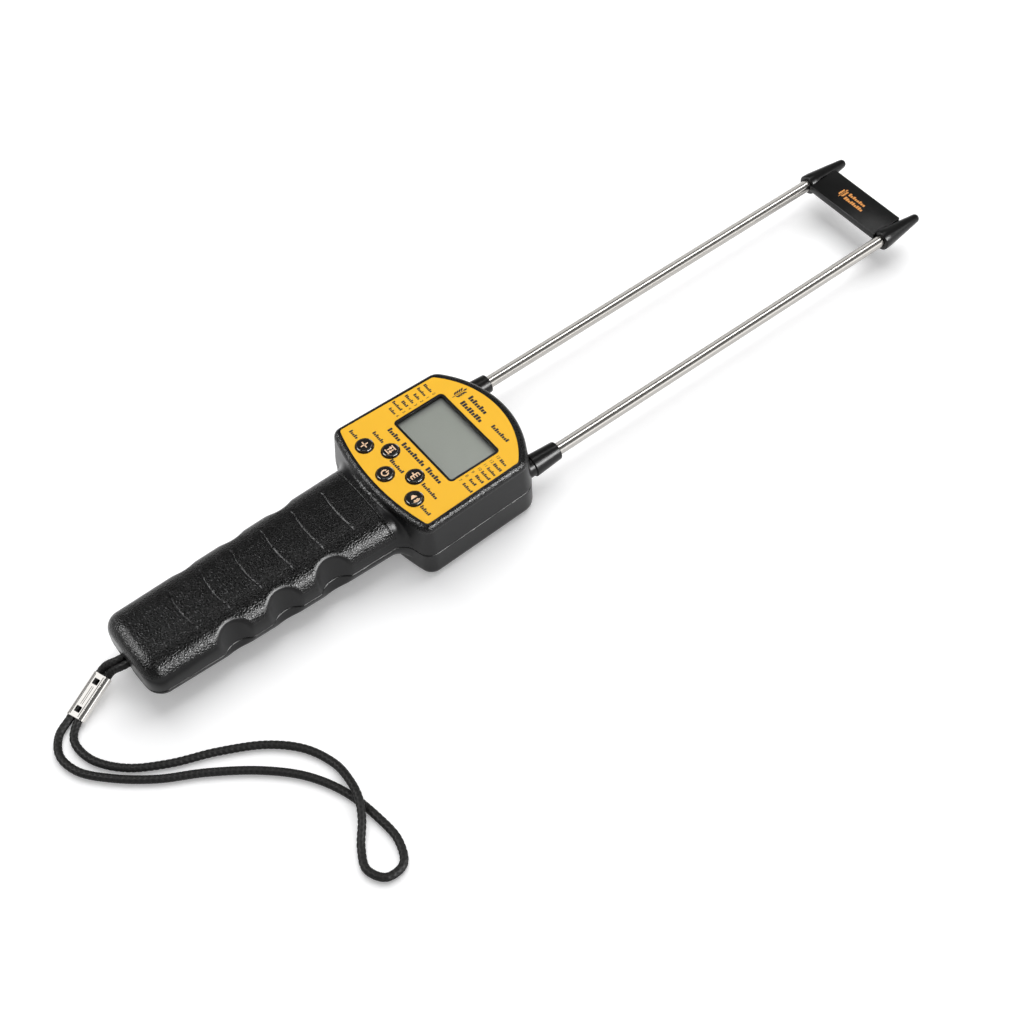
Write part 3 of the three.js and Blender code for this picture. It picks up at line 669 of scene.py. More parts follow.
def make_clasp():
    """A flat bright sleeve round both strands, made along +Y from the origin, then put in its place."""
    start, end = Vector(CLASP["near"]), Vector(CLASP["far"])
    length = (end - start).length
    w, h, wall = CLASP["width"] / 2, CLASP["height"] / 2, CLASP["wall"]

    def oval(inset, y):
        loop = rounded_rectangle(w - inset, inset - h, h - inset, h - inset - 0.02, 10)
        return np.column_stack([loop[:, 0], np.full(len(loop), y), loop[:, 1]])

    rings = [(wall, 0.12), (0.12, 0), (0, 0.15), (0, length - 0.15), (0.12, length), (wall, length - 0.12)]
    sleeve = loft("clasp_sleeve", [oval(inset, y) for inset, y in rings], hoop=True)
    half = CLASP["window"] / 2
    tools = []
    for share in (0.18, 0.82):
        y = length * share
        hole = rounded_rectangle_at(-half, half, y - half, y + half, 0.3)
        tools.append(prism("clasp_window", hole, 0, h + 1))
    for x, inset, half_width in ((-2.1, 0.8, 0.28), (2.1, 0.8, 0.28), (-0.4, 6.2, 0.14), (0.4, 6.2, 0.14)):
        tools.append(block("groove", x - half_width, x + half_width, inset, length - inset, h - 0.3, h + 1))
    cut(sleeve, *tools)
    forward = (end - start).normalized()
    across = forward.cross(Vector((0, 0, 1))).normalized()
    up = across.cross(forward)
    turn = Matrix((across, forward, up)).transposed().to_4x4()
    home = Matrix.Translation((0, HOME_Y * MM, 0))
    sleeve.data.transform(home @ Matrix.Translation(start * MM) @ turn @ home.inverted())
    return sleeve


strap, strap_path = make_cord()
dress(smooth(strap, 60), "cord", "meter", "cord", "strap_cord")
clasp = dress(smooth(make_clasp()), "nickel", "meter", "nickel", "strap_clasp")


# ---------------- the moulded body as a field
# Each function gives about how far a point is outside a shape, in millimetres; inside is negative.
def round_both(a, b, radius):
    """What two shapes share, with a round edge."""
    edge = np.hypot(np.maximum(a + radius, 0), np.maximum(b + radius, 0))
    return np.minimum(np.maximum(a, b), -radius) + edge


def round_either(a, b, radius):
    """Two shapes joined by a fillet."""
    return -round_both(-a, -b, radius)


def outside_outline(x, y, loop):
    """Distance from a convex outline."""
    ahead = np.roll(loop, -1, 0) - loop
    keep = np.hypot(*ahead.T) > 1e-6
    start, ahead = loop[keep], ahead[keep]
    normals = np.stack([ahead[:, 1], -ahead[:, 0]], 1) / np.hypot(*ahead.T)[:, None]
    distance = -np.inf
    for (px, py), (nx, ny) in zip(start, normals):
        distance = np.maximum(distance, nx * (x - px) + ny * (y - py))
    return distance


HEAD_OUTLINE = outline(HEAD)


def head_field(x, y, z):
    rise = np.clip((z - AXIS_Z) / (FACE_Z - EDGE_RADIUS - AXIS_Z), 0, 1)
    wall = outside_outline(x, y, HEAD_OUTLINE) - DRAFT * (1 - rise)
    return round_both(round_both(wall, z - FACE_Z, EDGE_RADIUS), -z, BACK_RADIUS)


def grip_at(name, y):
    """A measure of the tapered grip at a place along it."""
    along = np.clip((y - GRIP["neck_y"]) / (GRIP["taper_y"] - GRIP["neck_y"]), 0, 1.1)
    return GRIP[name][0] + (GRIP[name][1] - GRIP[name][0]) * along


def grip_field(x, y, z):
    half_width, top_height, back_height = (
        grip_at(name, y) for name in ("half_width", "top_height", "back_height"))
    top = z > AXIS_Z
    power = np.where(top, GRIP["top_power"], GRIP["back_power"])
    height = np.where(top, top_height, back_height)
    u = np.abs(x) / half_width
    v = np.abs(z - AXIS_Z) / height
    reach = (u ** power + v ** power) ** (1 / power) + 1e-9
    slope = np.hypot((u / reach) ** (power - 1) / half_width, (v / reach) ** (power - 1) / height)
    section = (reach - 1) / slope
    end = GRIP_END_Y + GRIP["end_dome"] * (x / GRIP["half_width"][1]) ** 2 - y
    return np.maximum(round_both(section, end, GRIP["end_radius"]), y)


def scoop_field(x, y, z, number):
    """A leaning cylinder that cuts a finger scoop; both sides at once."""
    lean = -math.atan(SCOOP["lean"])
    offset_x = np.abs(x) - SCOOP["floor_x"] - SCOOP["radius"] - np.where(x < 0, SCOOP["left_less"], 0)
    offset_z = z - AXIS_Z - SCOOP["floor_above_axis"]
    across = offset_x * math.cos(lean) - offset_z * math.sin(lean)
    along = y - (SCOOP["first_y"] - number * SCOOP["pitch"])
    return np.hypot(across, along) - SCOOP["radius"]


def plain_field(x, y, z):
    """The head, the grip and the scoops, without engraved lines."""
    fillet = np.interp(z, NECK_FILLET["heights"], NECK_FILLET["radii"])
    body = round_either(head_field(x, y, z), grip_field(x, y, z), fillet)
    for number in range(SCOOP["count"]):
        body = round_both(body, -scoop_field(x, y, z, number), SCOOP["edge"])
    return body


def body_field(x, y, z):
    """The body with the parting line round it and the seam where the grip meets the head."""
    body = plain_field(x, y, z)
    parting = np.hypot(z - AXIS_Z, body) - PARTING_RADIUS
    below = np.maximum(SEAM_LOW_Z - z, 0)
    seam = np.sqrt((y - SEAM_Y) ** 2 + body ** 2 + below ** 2) - SEAM_RADIUS
    return np.maximum(np.maximum(body, -parting), -seam)


def surface_net(field, xs, ys, zs):
    """The vertices and quads of the surface where a field is zero, on a grid of any spacing."""
    grids = (xs, ys, zs)
    values = field(xs[:, None, None], ys[None, :, None], zs[None, None, :])
    inside = values < 0
    cells = tuple(n - 1 for n in values.shape)
    around = ((0, 0), (1, 0), (1, 1), (0, 1))  # the four cells that share a grid edge
    count = np.zeros(np.prod(cells))
    total = np.zeros((3, count.size))
    crossings = []
    for axis in range(3):
        others = [k for k in range(3) if k != axis]
        low = [slice(None)] * 3
        high = [slice(None)] * 3
        low[axis], high[axis] = slice(None, -1), slice(1, None)
        a, b = values[tuple(low)], values[tuple(high)]
        crosses = inside[tuple(low)] != inside[tuple(high)]
        spots = np.argwhere(crosses)
        share = a[crosses] / (a[crosses] - b[crosses])
        place = np.stack([grids[k][spots[:, k]] for k in range(3)], 1)
        place[:, axis] += share * np.diff(grids[axis])[spots[:, axis]]
        corners = []
        for shift in around:
            cell = spots.copy()
            cell[:, others[0]] -= shift[0]
            cell[:, others[1]] -= shift[1]
            number = np.ravel_multi_index(tuple(cell.T), cells)
            count += np.bincount(number, minlength=count.size)
            for k in range(3):
                total[k] += np.bincount(number, place[:, k], count.size)
            corners.append(number)
        quads = np.stack(corners, 1)
        leaving = inside[tuple(low)][crosses] != (axis == 1)
        quads[leaving] = quads[leaving][:, ::-1]
        crossings.append(quads)
    used = count > 0
    index = np.cumsum(used) - 1
    return (total[:, used] / count[used]).T, index[np.concatenate(crossings)]


def settle(field, points, rounds=2, reach=0.3):
    """Moves points onto the surface of a field."""
    probe = 0.03
    for _ in range(rounds):
        value = field(*points.T)
        slope = np.stack([
            (field(*(points + step).T) - field(*(points - step).T)) / (2 * probe)
            for step in np.eye(3) * probe
        ], 1)
        size = np.maximum((slope ** 2).sum(1), 0.25)
        points = points - slope * np.clip(value / size, -reach, reach)[:, None]
    return points


def grid_line(low, high, step, fine=(), fine_step=0.2):
    """Places from low to high, closer together in the fine stretches."""
    places = np.arange(low, high + step, step)
    for start, end in fine:
        places = places[(places < start - fine_step / 2) | (places > end + fine_step / 2)]
        places = np.append(places, np.arange(start, end + fine_step / 2, fine_step))
    return np.sort(places)


def body_mesh(name, field, step, detailed):
    """A mesh of a field's surface. A detailed one has a finer grid at the parting line and the seam."""
    margin = 1.5
    fine_y, fine_z = [], []
    if detailed:
        fine_z.append((AXIS_Z - 0.6, AXIS_Z + 0.6))
        fine_y.append((SEAM_Y - 0.6, SEAM_Y + 0.6))
    half = HEAD["half_width"] + DRAFT + margin
    xs = grid_line(-half, half, step)
    ys = grid_line(GRIP_END_Y - margin, HEAD["top_y"] + DRAFT + margin, step, fine_y)
    zs = grid_line(-margin, FACE_Z + margin, step, fine_z)
    points, faces = surface_net(field, xs, ys, zs)
    return outward(new_object(name, settle(field, points), faces))


def inner_field(x, y, z):
    return plain_field(x, y, z) + WALL


GRID_STEP = 0.6
COARSE_STEP = 1.6
outer_body = body_mesh("outer_body", body_field, GRID_STEP, True)
inner_body = body_mesh("inner_body", inner_field, COARSE_STEP, False)

# ---------------- openings in the moulded body
FERRULE = {
    "base": 5.45, "end": 4.5, "end_y": 66.9, "flange": 6.2, "neck": 4.6, "flange_y": 37.5, "wall_y": 52,
}
BAY = {"half_width": 12, "y0": -125.5, "y1": -29, "roof_z": 21.9, "wall": 1.5}
SCREWS = [(-29, -6, 4), (29, -6, 4), (-13, 46, 4), (13, 46, 4), (-13, -133, 11.8), (13, -133, 11.8)]
POST_RADIUS = 4.2
HOOK_X = (-7.5, 7.5)
RIB = {"count": 6, "pitch": 2.2, "half_width": 0.45, "rise": 0.45, "top_z": 10}
GRILLE = {"y": 30, "ring": 5, "count": 6, "hole": 0.9, "top": 3.2}
WELL = {"radius": 2.9, "hole": 1.5, "hole_top": 17}
PIN = {"radius": 1.5, "x": -2.35, "y": -138.9, "z0": 10, "z1": 22}
FAR = 100
BELOW_FACE = 28  # a height below the face's inner side


def above(z):
    return block("above", -FAR, FAR, GRIP_END_Y - 10, FAR, z, FAR)


def below(z):
    return block("below", -FAR, FAR, GRIP_END_Y - 10, FAR, -10, z)


def along_probe(name, profile, side, sides=64, hoop=False):
    """A turned piece on the left probe's axis, where side is -1, or on the right probe's, where it is 1."""
    return turned(name, profile, side * PROBE_X, AXIS_Z, sides, True, hoop)


def ferrule_seats():
    neck, base = FERRULE["neck"] + GAP, FERRULE["base"] + GAP
    seat_y, wall_y = FERRULE["flange_y"] + 2, FERRULE["wall_y"]
    profile = [(0, seat_y), (neck, seat_y), (neck, wall_y), (base, wall_y), (base, 72), (0, 72)]
    return [along_probe("seat", profile, side, 48) for side in (-1, 1)]


def strap_opening():
    loop = rounded_rectangle(5.2, -2.6, 2.6, 1.6)
    rings = [[(PIN["x"] + x, y, AXIS_Z + z) for x, z in loop] for y in (GRIP_END_Y - 2, PIN["y"])]
    return loft("strap_opening", rings)


def pin_seat():
    radius = PIN["radius"] + GAP
    return prism("pin_seat", circle(radius, PIN["x"], PIN["y"], 24), PIN["z0"] - GAP, PIN["z1"] + GAP)


def arc_y(x, number):
    """Where an engraved line of the grip's top runs."""
    sag = ARC["sag"] + number * ARC["more_sag"]
    return ARC["first_y"] - number * ARC["pitch"] - sag * (1 - (x / ARC["half_width"]) ** 2)


def grip_top(x, y):
    """The height of the grip's top."""
    power = GRIP["top_power"]
    share = (abs(x) / grip_at("half_width", y)) ** power
    return AXIS_Z + grip_at("top_height", y) * (1 - share) ** (1 / power)


def arc_groove(number):
    """A groove along one engraved line, steep on the grip end's side, shallower towards its ends."""
    rings = []
    for x in np.linspace(-ARC["half_width"], ARC["half_width"], 33):
        y = arc_y(x, number)
        top = grip_top(x, y)
        fade = min(1, (1.02 - abs(x) / ARC["half_width"]) * 6)
        y0, y1, deep = y - ARC["steep_wall"] * fade, y + ARC["lit_wall"] * fade, ARC["depth"] * fade
        rings.append([(x, y0, top + 0.5), (x, y0, top), (x, y, top - deep), (x, y1, top), (x, y1, top + 0.5)])
    return loft("arc_groove", rings)


KEY_NAMES = ("limit", "adjust", "power", "varieties", "voice")


def key_place(name):
    (x0, y0, _), (x1, y1, _) = cad_on_face("button_" + name)
    return (x0 + x1) / 2, (y0 + y1) / 2


def key_circle(name, radius):
    return circle(radius, *key_place(name), 48)


def make_front_shell():
    shell = kept_inside(copy_of(outer_body), above(AXIS_Z + GAP / 2))
    bed = FACE_Z - LABEL_THICK - 0.05
    (x0, y0, _), (x1, y1, pane_top) = cad_on_face("display_window")
    return cut(
        shell,
        copy_of(inner_body),
        prism("bed", outline(LABEL, 0.12), bed, FACE_Z + 1),
        prism("window", window_outline(0.04), BELOW_FACE, FACE_Z),
        block("pane_bed", x0 - 0.1, x1 + 0.1, y0 - 0.1, y1 + 0.1, BELOW_FACE, pane_top + 0.02),
        *[prism("key_hole", key_circle(name, KEY_HOLE_R), BELOW_FACE, FACE_Z) for name in KEY_NAMES],
        *[arc_groove(number) for number in range(ARC["count"])],
        *ferrule_seats(),
        strap_opening(),
        pin_seat(),
    )


def bay_walls():
    w, wall = BAY["half_width"], BAY["wall"]
    y0, y1 = BAY["y0"] - wall, BAY["y1"] + wall
    walls = block("bay_walls", -w - wall, w + wall, y0, y1, 4, BAY["roof_z"] + wall)
    return kept_inside(walls, copy_of(outer_body))


def make_rear_shell():
    shell = cut(kept_inside(copy_of(outer_body), below(AXIS_Z - GAP / 2)), copy_of(inner_body))
    posts = []
    for x, y, seat in SCREWS:
        post = prism("post", circle(POST_RADIUS, x, y, 32), seat - 2, min(AXIS_Z - 0.4, seat + 4))
        posts.append(kept_inside(post, copy_of(outer_body)))
    boolean(shell, [bay_walls(), *posts], "UNION")
    w = BAY["half_width"]
    tools = [block("bay", -w, w, BAY["y0"], BAY["y1"], -1, BAY["roof_z"])]
    for x in HOOK_X:
        tools.append(block("hook_slot", x - 2, x + 2, BAY["y1"] - 2, BAY["y1"] + 5, 5.7, 11))
    for x, y, seat in SCREWS:
        mouth, hole, top = WELL["radius"] + 0.4, WELL["hole"], WELL["hole_top"]
        profile = [(0, -1), (mouth, -1), (WELL["radius"], 0.6), (WELL["radius"], seat), (hole, seat)]
        tools.append(turned("well", [*profile, (hole, top), (0, top)], x, y))
    hole, top = GRILLE["hole"], GRILLE["top"]
    for x, y in [*circle(GRILLE["ring"], 0, GRILLE["y"], GRILLE["count"]), (0, GRILLE["y"])]:
        profile = [(0, -1), (hole + 0.4, -1), (hole, 0.5), (hole, top), (0, top)]
        tools.append(turned("grille", profile, x, y, 24))
    return cut(shell, *tools, *ferrule_seats(), strap_opening(), pin_seat())


def make_battery_door():
    w = BAY["half_width"] - GAP
    y0, y1 = BAY["y0"] + GAP, BAY["y1"] - GAP
    door = kept_inside(copy_of(outer_body), block("edge", -w, w, y0, y1, -1, AXIS_Z))
    cut(door, copy_of(inner_body))
    raised = body_mesh("raised", lambda x, y, z: plain_field(x, y, z) - RIB["rise"], COARSE_STEP, False)
    added = []
    for number in range(RIB["count"]):
        y = y0 + 8 + number * RIB["pitch"]
        rib = block("rib", -7, 7, y - RIB["half_width"], y + RIB["half_width"], 2, RIB["top_z"])
        added.append(kept_inside(rib, copy_of(raised)))
    bpy.data.objects.remove(raised)
    for x in HOOK_X:
        added.append(block("hook", x - 1.5, x + 1.5, BAY["y1"] - 3.5, BAY["y1"] + 2.2, 6, 7.2))
        added.append(block("hook_root", x - 1.5, x + 1.5, BAY["y1"] - 3.5, BAY["y1"] - 1.5, 4.6, 7.2))
    boolean(door, added, "UNION")
    return cut(door, prism("notch", circle(4, 0, BAY["y0"] - 1.4, 40), -1, AXIS_Z))


# ---------------- shells
GRAIN_EDGE = ((20, 145), (21, 24.5))  # how far below the key rows, and how high the grain ends there
GRAIN_START_Y = -21
RIM = {"depth": 3.4, "start_y": -22, "plain_edge": 0.9}


def grain_share(points):
    """Where the leather grain is on the shells, from 0 to 1: the grip's top and the face's rim."""
    x, y, z = points.T

    def step(value, soft):
        share = np.clip(value / soft + 0.5, 0, 1)
        return share * share * (3 - 2 * share)

    edge_z = np.interp(-y, *GRAIN_EDGE)
    grip = step(z - edge_z, 0.7) * step(GRAIN_START_Y - y, 0.5)
    for number in range(SCOOP["count"]):
        grip *= step(scoop_field(x, y, z, number) - SCOOP["edge"], 0.5)
    for number in range(ARC["count"]):
        past = y - arc_y(x, number)
        across = (past > -ARC["steep_wall"]) & (past < ARC["lit_wall"] * 0.9)
        grip = np.where(across & (np.abs(x) < ARC["half_width"]), 0, grip)
    rim = step(z - (FACE_Z - RIM["depth"]), 0.7) * step(y - RIM["start_y"], 0.5)
    rim *= step(outside_outline(x, y, outline(LABEL)) - RIM["plain_edge"], 0.4)
    return np.maximum(grip, rim)


def add_grain(made):
    points = np.array([v.co for v in made.data.vertices]) / MM - (0, HOME_Y, 0)
    attribute = made.data.attributes.new("grain", "FLOAT", "POINT")
    attribute.data.foreach_set("value", grain_share(points).astype(np.float32))
    return made


for part, cad_node, body in (
    (make_front_shell(), "front_shell", "meter"), (make_rear_shell(), "rear_shell", "meter"),
    (make_battery_door(), "battery_door", "battery_door"),
):
    part.name = cad_node + "_moulding"
    dress(add_grain(smooth(part)), "shell", body, "shell", cad_node)
for part in (outer_body, inner_body):
    bpy.data.objects.remove(part)

# ---------------- face pieces
KEY_TOP = FACE_Z + 1.05
KEY_DISH = 0.18
COLLAR_BASE = 32.2


def flat_piece(name, loops, z0, z1, bevel=0.0):
    """A flat piece from outlines; an outline inside another is a hole."""
    curve = bpy.data.curves.new(name, "CURVE")
    curve.dimensions = "2D"
    curve.fill_mode = "BOTH"
    curve.extrude = ((z1 - z0) / 2 - bevel) * MM
    curve.bevel_depth = bevel * MM
    curve.bevel_resolution = 1
    curve.offset = -bevel * MM
    for loop in loops:
        spline = curve.splines.new("POLY")
        spline.points.add(len(loop) - 1)
        for point, (x, y) in zip(spline.points, loop):
            point.co = (x * MM, y * MM, 0, 1)
        spline.use_cyclic_u = True
    return solid_curve(name, curve, 0, 0, (z0 + z1) / 2)


def make_label():
    holes = [key_circle(name, KEY_HOLE_R + 0.18)[::-1] for name in KEY_NAMES]
    loops = [outline(LABEL), window_outline(), *holes]
    return flat_piece("label_sheet", loops, FACE_Z - LABEL_THICK, FACE_Z, 0.04)


def make_bezel():
    """The black frame round the display, level with the label."""
    low = cad_mm("display_window")[1].z + 0.02
    insets = (0.08, 0.08, 0.14, 0.26, BEZEL_WIDTH - 0.25, BEZEL_WIDTH - 0.06, BEZEL_WIDTH, BEZEL_WIDTH)
    rises = (-0.04, 0.06, 0.1, 0.1, 0.02, -0.15)
    heights = (low, *(FACE_Z + rise for rise in rises), low)
    return loft("window_bezel", [at_height(window_outline(i), z) for i, z in zip(insets, heights)], hoop=True)


def key_height(radius):
    """Height of the key's dished top at a radius."""
    share = np.clip(radius / (KEY_R - 0.9), 0, 1)
    return KEY_TOP - KEY_DISH * (1 - share ** 2)


def make_key(name):
    (x0, _, base), (x1, _, _) = cad_on_face("button_" + name)
    flange = (x1 - x0) / 2
    profile = [(0, base), (1.6, base), (1.6, base + 0.7), (flange, base + 0.7), (flange, base + 2)]
    profile += [(KEY_R, base + 2), (KEY_R, FACE_Z + 0.35), (KEY_R - 0.06, FACE_Z + 0.6)]
    profile += [(KEY_R - 0.25, KEY_TOP - 0.17), (KEY_R - 0.55, KEY_TOP - 0.03), (KEY_R - 0.9, KEY_TOP)]
    profile += [(r, key_height(r)) for r in np.linspace(KEY_R - 1.4, 0, 6)]
    return smooth(turned("key_" + name, profile, *key_place(name), 64), 50)


def make_collar(name):
    """The raised lip of the face round a key."""
    lip = [(4.42, 0.12), (4.36, 0.24), (4.24, 0.28), (4.12, 0.22), (4.06, 0)]
    profile = [(4.42, COLLAR_BASE), *((r, FACE_Z + rise) for r, rise in lip), (4.06, COLLAR_BASE)]
    return turned("collar_" + name, profile, *key_place(name), 64, hoop=True)


def stroke(points, width):
    """The outline of a pen stroke along points."""
    points = np.asarray(points, float)
    ahead = np.gradient(points, axis=0)
    ahead /= np.hypot(*ahead.T)[:, None]
    side = np.stack([-ahead[:, 1], ahead[:, 0]], 1) * width / 2
    return np.concatenate([points + side, (points - side)[::-1]])


def arc_points(radius, start, end, x=0.0, y=0.0, steps=14):
    turn = np.radians(np.linspace(start, end, steps))
    return np.stack([x + radius * np.cos(turn), y + radius * np.sin(turn)], 1)


def line_points(x0, y0, x1, y1, steps=6):
    return np.stack([np.linspace(x0, x1, steps), np.linspace(y0, y1, steps)], 1)


ICON = {"stroke": 0.6, "rise": 0.02, "sunk": 0.05}
KEY_ICONS = {
    "limit": [line_points(-1.9, 0, 1.9, 0), line_points(0, -1.9, 0, 1.9)],
    "adjust": [
        line_points(-1.6, 1.9, 1.6, 1.9), line_points(-1.6, -1.9, 1.6, -1.9),
        line_points(-0.8, -1.1, -0.8, 1.2), line_points(0.8, -1.1, 0.8, 1.2),
        line_points(-1.5, 0.5, -0.8, 1.3), line_points(-0.1, 0.5, -0.8, 1.3),
        line_points(0.1, -0.4, 0.8, -1.2), line_points(1.5, -0.4, 0.8, -1.2),
    ],
    "power": [arc_points(1.55, 120, 420), line_points(0, 0.5, 0, 2.1)],
    "varieties": [
        line_points(-0.5, -2.0, -0.5, 2.0), line_points(-2.0, 0, -0.5, 0),
        *[line_points(-0.5, y, 1.3, y) for y in (-2.0, -0.65, 0.65, 2.0)],
    ],
    "voice": [arc_points(1.2, -55, 55, 0.5), arc_points(2.0, -50, 50, 0.5)],
}
VOICE_HORN = [(-2.1, -0.6), (-1.2, -0.6), (0.2, -1.8), (0.2, 1.8), (-1.2, 0.6), (-2.1, 0.6)]


def make_icon(name):
    """A picture printed on a key, following its dished top."""
    x, y = key_place(name)

    def edge(px, py, rise):
        return x + px, y + py, key_height(math.hypot(px, py)) + rise

    strips = []
    for points in KEY_ICONS[name]:
        loop = stroke(points, ICON["stroke"])
        sections = zip(loop, loop[::-1][:len(points)])
        strips.append(loft("strip", [
            [edge(*a, -ICON["sunk"]), edge(*b, -ICON["sunk"]), edge(*b, ICON["rise"]), edge(*a, ICON["rise"])]
            for a, b in sections]))
    if name == "voice":
        top = key_height(1.2)
        horn = np.array(VOICE_HORN) + (x, y)
        strips.append(prism("horn", horn, top - 2 * ICON["sunk"], top + ICON["rise"]))
    return joined("icon_" + name, strips)


# ---------------- the label's print
PRINT_RISE = 0.03


def bar_word(x0, x1, y, height, number):
    """A word's place held by short bars of uneven height."""
    loops = []
    pitch = height * 0.62
    count = max(int(round((x1 - x0) / pitch)), 1)
    pitch = (x1 - x0) / count
    for i in range(count):
        tall = 1.0 if i == 0 else 0.62 + 0.3 * (math.sin(2.1 * i + 1.7 * number) > 0.45)
        base = y - height / 2
        loops.append(rounded_rectangle_at(
            x0 + i * pitch, x0 + (i + 0.8) * pitch, base, base + height * tall, height * 0.1))
    return loops


def digits(text, x, y, height, to_right):
    curve = bpy.data.curves.new("digits", "FONT")
    curve.body = text
    curve.size = height * 1.35 * MM
    curve.extrude = PRINT_RISE / 2 * MM
    curve.align_x = "RIGHT" if to_right else "LEFT"
    curve.align_y = "CENTER"
    return solid_curve("digits", curve, x, y, FACE_Z + PRINT_RISE / 2)


def kernel(x, y, length, width, turn):
    """A grain kernel's outline, pointed at both ends."""
    t = np.linspace(0, math.tau, 17)[:-1]
    along, across = np.cos(t) * length / 2, np.sin(t) * np.abs(np.sin(t)) ** 0.4 * width / 2
    c, s = math.cos(math.radians(turn)), math.sin(math.radians(turn))
    return np.stack([x + along * c - across * s, y + along * s + across * c], 1)


def wheat_ear(x, y, height):
    stem = stroke(line_points(x, y - height / 2, x, y + height * 0.2), 0.3)
    loops = [stem, kernel(x, y + height * 0.36, height * 0.26, 0.9, 90)]
    for i in range(4):
        row_y = y - height * 0.22 + i * height * 0.15
        for side in (-1, 1):
            loops.append(kernel(x + side * 1.15, row_y, height * 0.25, 0.85, 90 - side * 38))
    return loops


# middle and length of each name's row, beside its number
LEFT_ROWS = [(35.3, 6.0), (31.8, 6.2), (28.4, 4.3), (25.0, 6.3), (21.7, 4.4), (18.4, 7.0), (14.9, 4.8)]
RIGHT_ROWS = [(35.6, 5.0), (32.0, 6.0), (28.6, 6.2), (25.3, 6.4), (22.0, 6.0), (18.7, 5.0), (15.1, 7.0)]
# left end, right end and middle of each key's caption
CAPTIONS = [
    (-30.4, -24.6, -6.4), (-23.0, -15.2, 1.2), (-5.2, 4.3, -1.9), (14.6, 25.3, 1.2), (23.9, 30.4, -6.4),
]
# left end, right end, middle, height and the number that varies the bars
TITLE_WORDS = [
    (-20.0, -11.2, 7.7, 2.5, 1), (-9.2, 7.0, 7.7, 2.5, 2), (8.9, 19.4, 7.7, 2.5, 3),
    (-11.6, 1.0, 47.0, 2.7, 2), (-11.6, 3.4, 42.4, 2.7, 4), (8.3, 20.0, 44.7, 2.1, 6),
]
ROWS = LEFT_ROWS + RIGHT_ROWS
ROW_HEIGHT = 1.6


def printed(loops, surface_z):
    return [flat_piece("print", [loop], surface_z - 0.01, surface_z + PRINT_RISE) for loop in loops]


def make_print():
    loops = []
    for number, (y, width) in enumerate(LEFT_ROWS):
        loops += bar_word(-24.9 - width, -25.1, y, ROW_HEIGHT, number)
    for number, (y, width) in enumerate(RIGHT_ROWS):
        loops += bar_word(25.9, 25.9 + width - 0.6, y, ROW_HEIGHT, number + 3)
    for number, (x0, x1, y) in enumerate(CAPTIONS):
        loops += bar_word(x0, x1, y, 1.9, number + 5)
    for words in TITLE_WORDS:
        loops += bar_word(*words)
    loops += wheat_ear(-16.4, 44.8, 8.5)
    parts = printed(loops, FACE_Z)
    for number, (y, _) in enumerate(LEFT_ROWS):
        parts.append(digits(str(number), -23.1, y, ROW_HEIGHT, True))
    for number, (y, _) in enumerate(RIGHT_ROWS):
        parts.append(digits(str(len(ROWS) - 1 - number), 23.0, y, ROW_HEIGHT, False))
    return joined("label_print", parts)


dress(smooth(make_label()), "label", "meter", "label", "face_label")
dress(make_print(), "print", "meter", "label")
dress(smooth(make_bezel()), "shell", "meter", "shell")
for name, cad_node, bevel, look in (
    ("lcd_panel", "lcd_display", 0.4, "lcd"), ("window_pane", "display_window", 0.15, "lens"),
):
    dress(smooth(bevelled(cad_block(name, cad_node), bevel)), look, "meter", look, cad_node)
for key_name in KEY_NAMES:
    key_body = "button_" + key_name
    dress(make_key(key_name), "key", key_body, "key", key_body)
    dress(make_icon(key_name), "key_print", key_body, "key")
    dress(smooth(make_collar(key_name)), "key", "meter", "shell")

# ---------------- probes
PROBE = {"wall": 0.8, "inner_end": 33, "outer_end": 288}
CAP = {"start_y": 273.5, "start": 5.1, "tip": 2.3}
BAR = {"y0": 272, "y1": 290.2, "z0": 15.1, "z1": 18.8}


def make_probe(side):
    r, wall = PROBE_R, PROBE["wall"]
    start, end = PROBE["inner_end"], PROBE["outer_end"]
    profile = [(r - wall, start), (r - 0.1, start), (r, start + 0.1)]
    profile += [(r, y) for y in np.linspace(start + 1, end - 1, 60)]
    profile += [(r, end - 0.1), (r - 0.1, end), (r - wall, end)]
    return along_probe("probe_tube", profile, side, 48, hoop=True)


def make_ferrule(side):
    f, bore = FERRULE, PROBE_R + GAP
    profile = rounded([
        (bore, f["flange_y"]), (f["flange"], f["flange_y"]), (f["flange"], f["flange_y"] + 2.5),
        (f["neck"], f["flange_y"] + 2.5), (f["neck"], f["wall_y"] + GAP), (f["base"], f["wall_y"] + GAP),
        (f["end"] + 0.02, f["end_y"] - 0.3), (f["end"] - 0.15, f["end_y"]), (bore, f["end_y"]),
    ], 0.5)
    return along_probe("probe_sleeve", profile, side, hoop=True)


def make_tip_bar(extra=0.0):
    half = PROBE_X - PROBE_R - GAP + extra
    y0, y1, z0, z1 = BAR["y0"] - extra, BAR["y1"] + extra, BAR["z0"] - extra, BAR["z1"] + extra
    made = block("tip_bar_plate", -half, half, y0, y1, z0, z1)
    return made if extra else bevelled(made, 0.5)


def make_cap(side):
    start, radius, tip = CAP["start_y"], CAP["start"], CAP["tip"]
    tip_y = TIP_Y - tip
    dome = [(tip * math.cos(t), tip_y + tip * math.sin(t)) for t in np.linspace(0.15, math.pi / 2, 9)]
    cone = [(0, start), (radius, start), (radius - 0.1, start + 3.5), (tip + 1.1, tip_y - 8), dome[0]]
    cap = along_probe("cap", rounded(cone, 0.6) + dome[1:], side)
    inner, end = PROBE_R + GAP, PROBE["outer_end"] + GAP
    bore = along_probe("bore", [(0, start - 1), (inner, start - 1), (inner, end), (0, end)], side, 48)
    return cut(cap, bore, make_tip_bar(GAP))


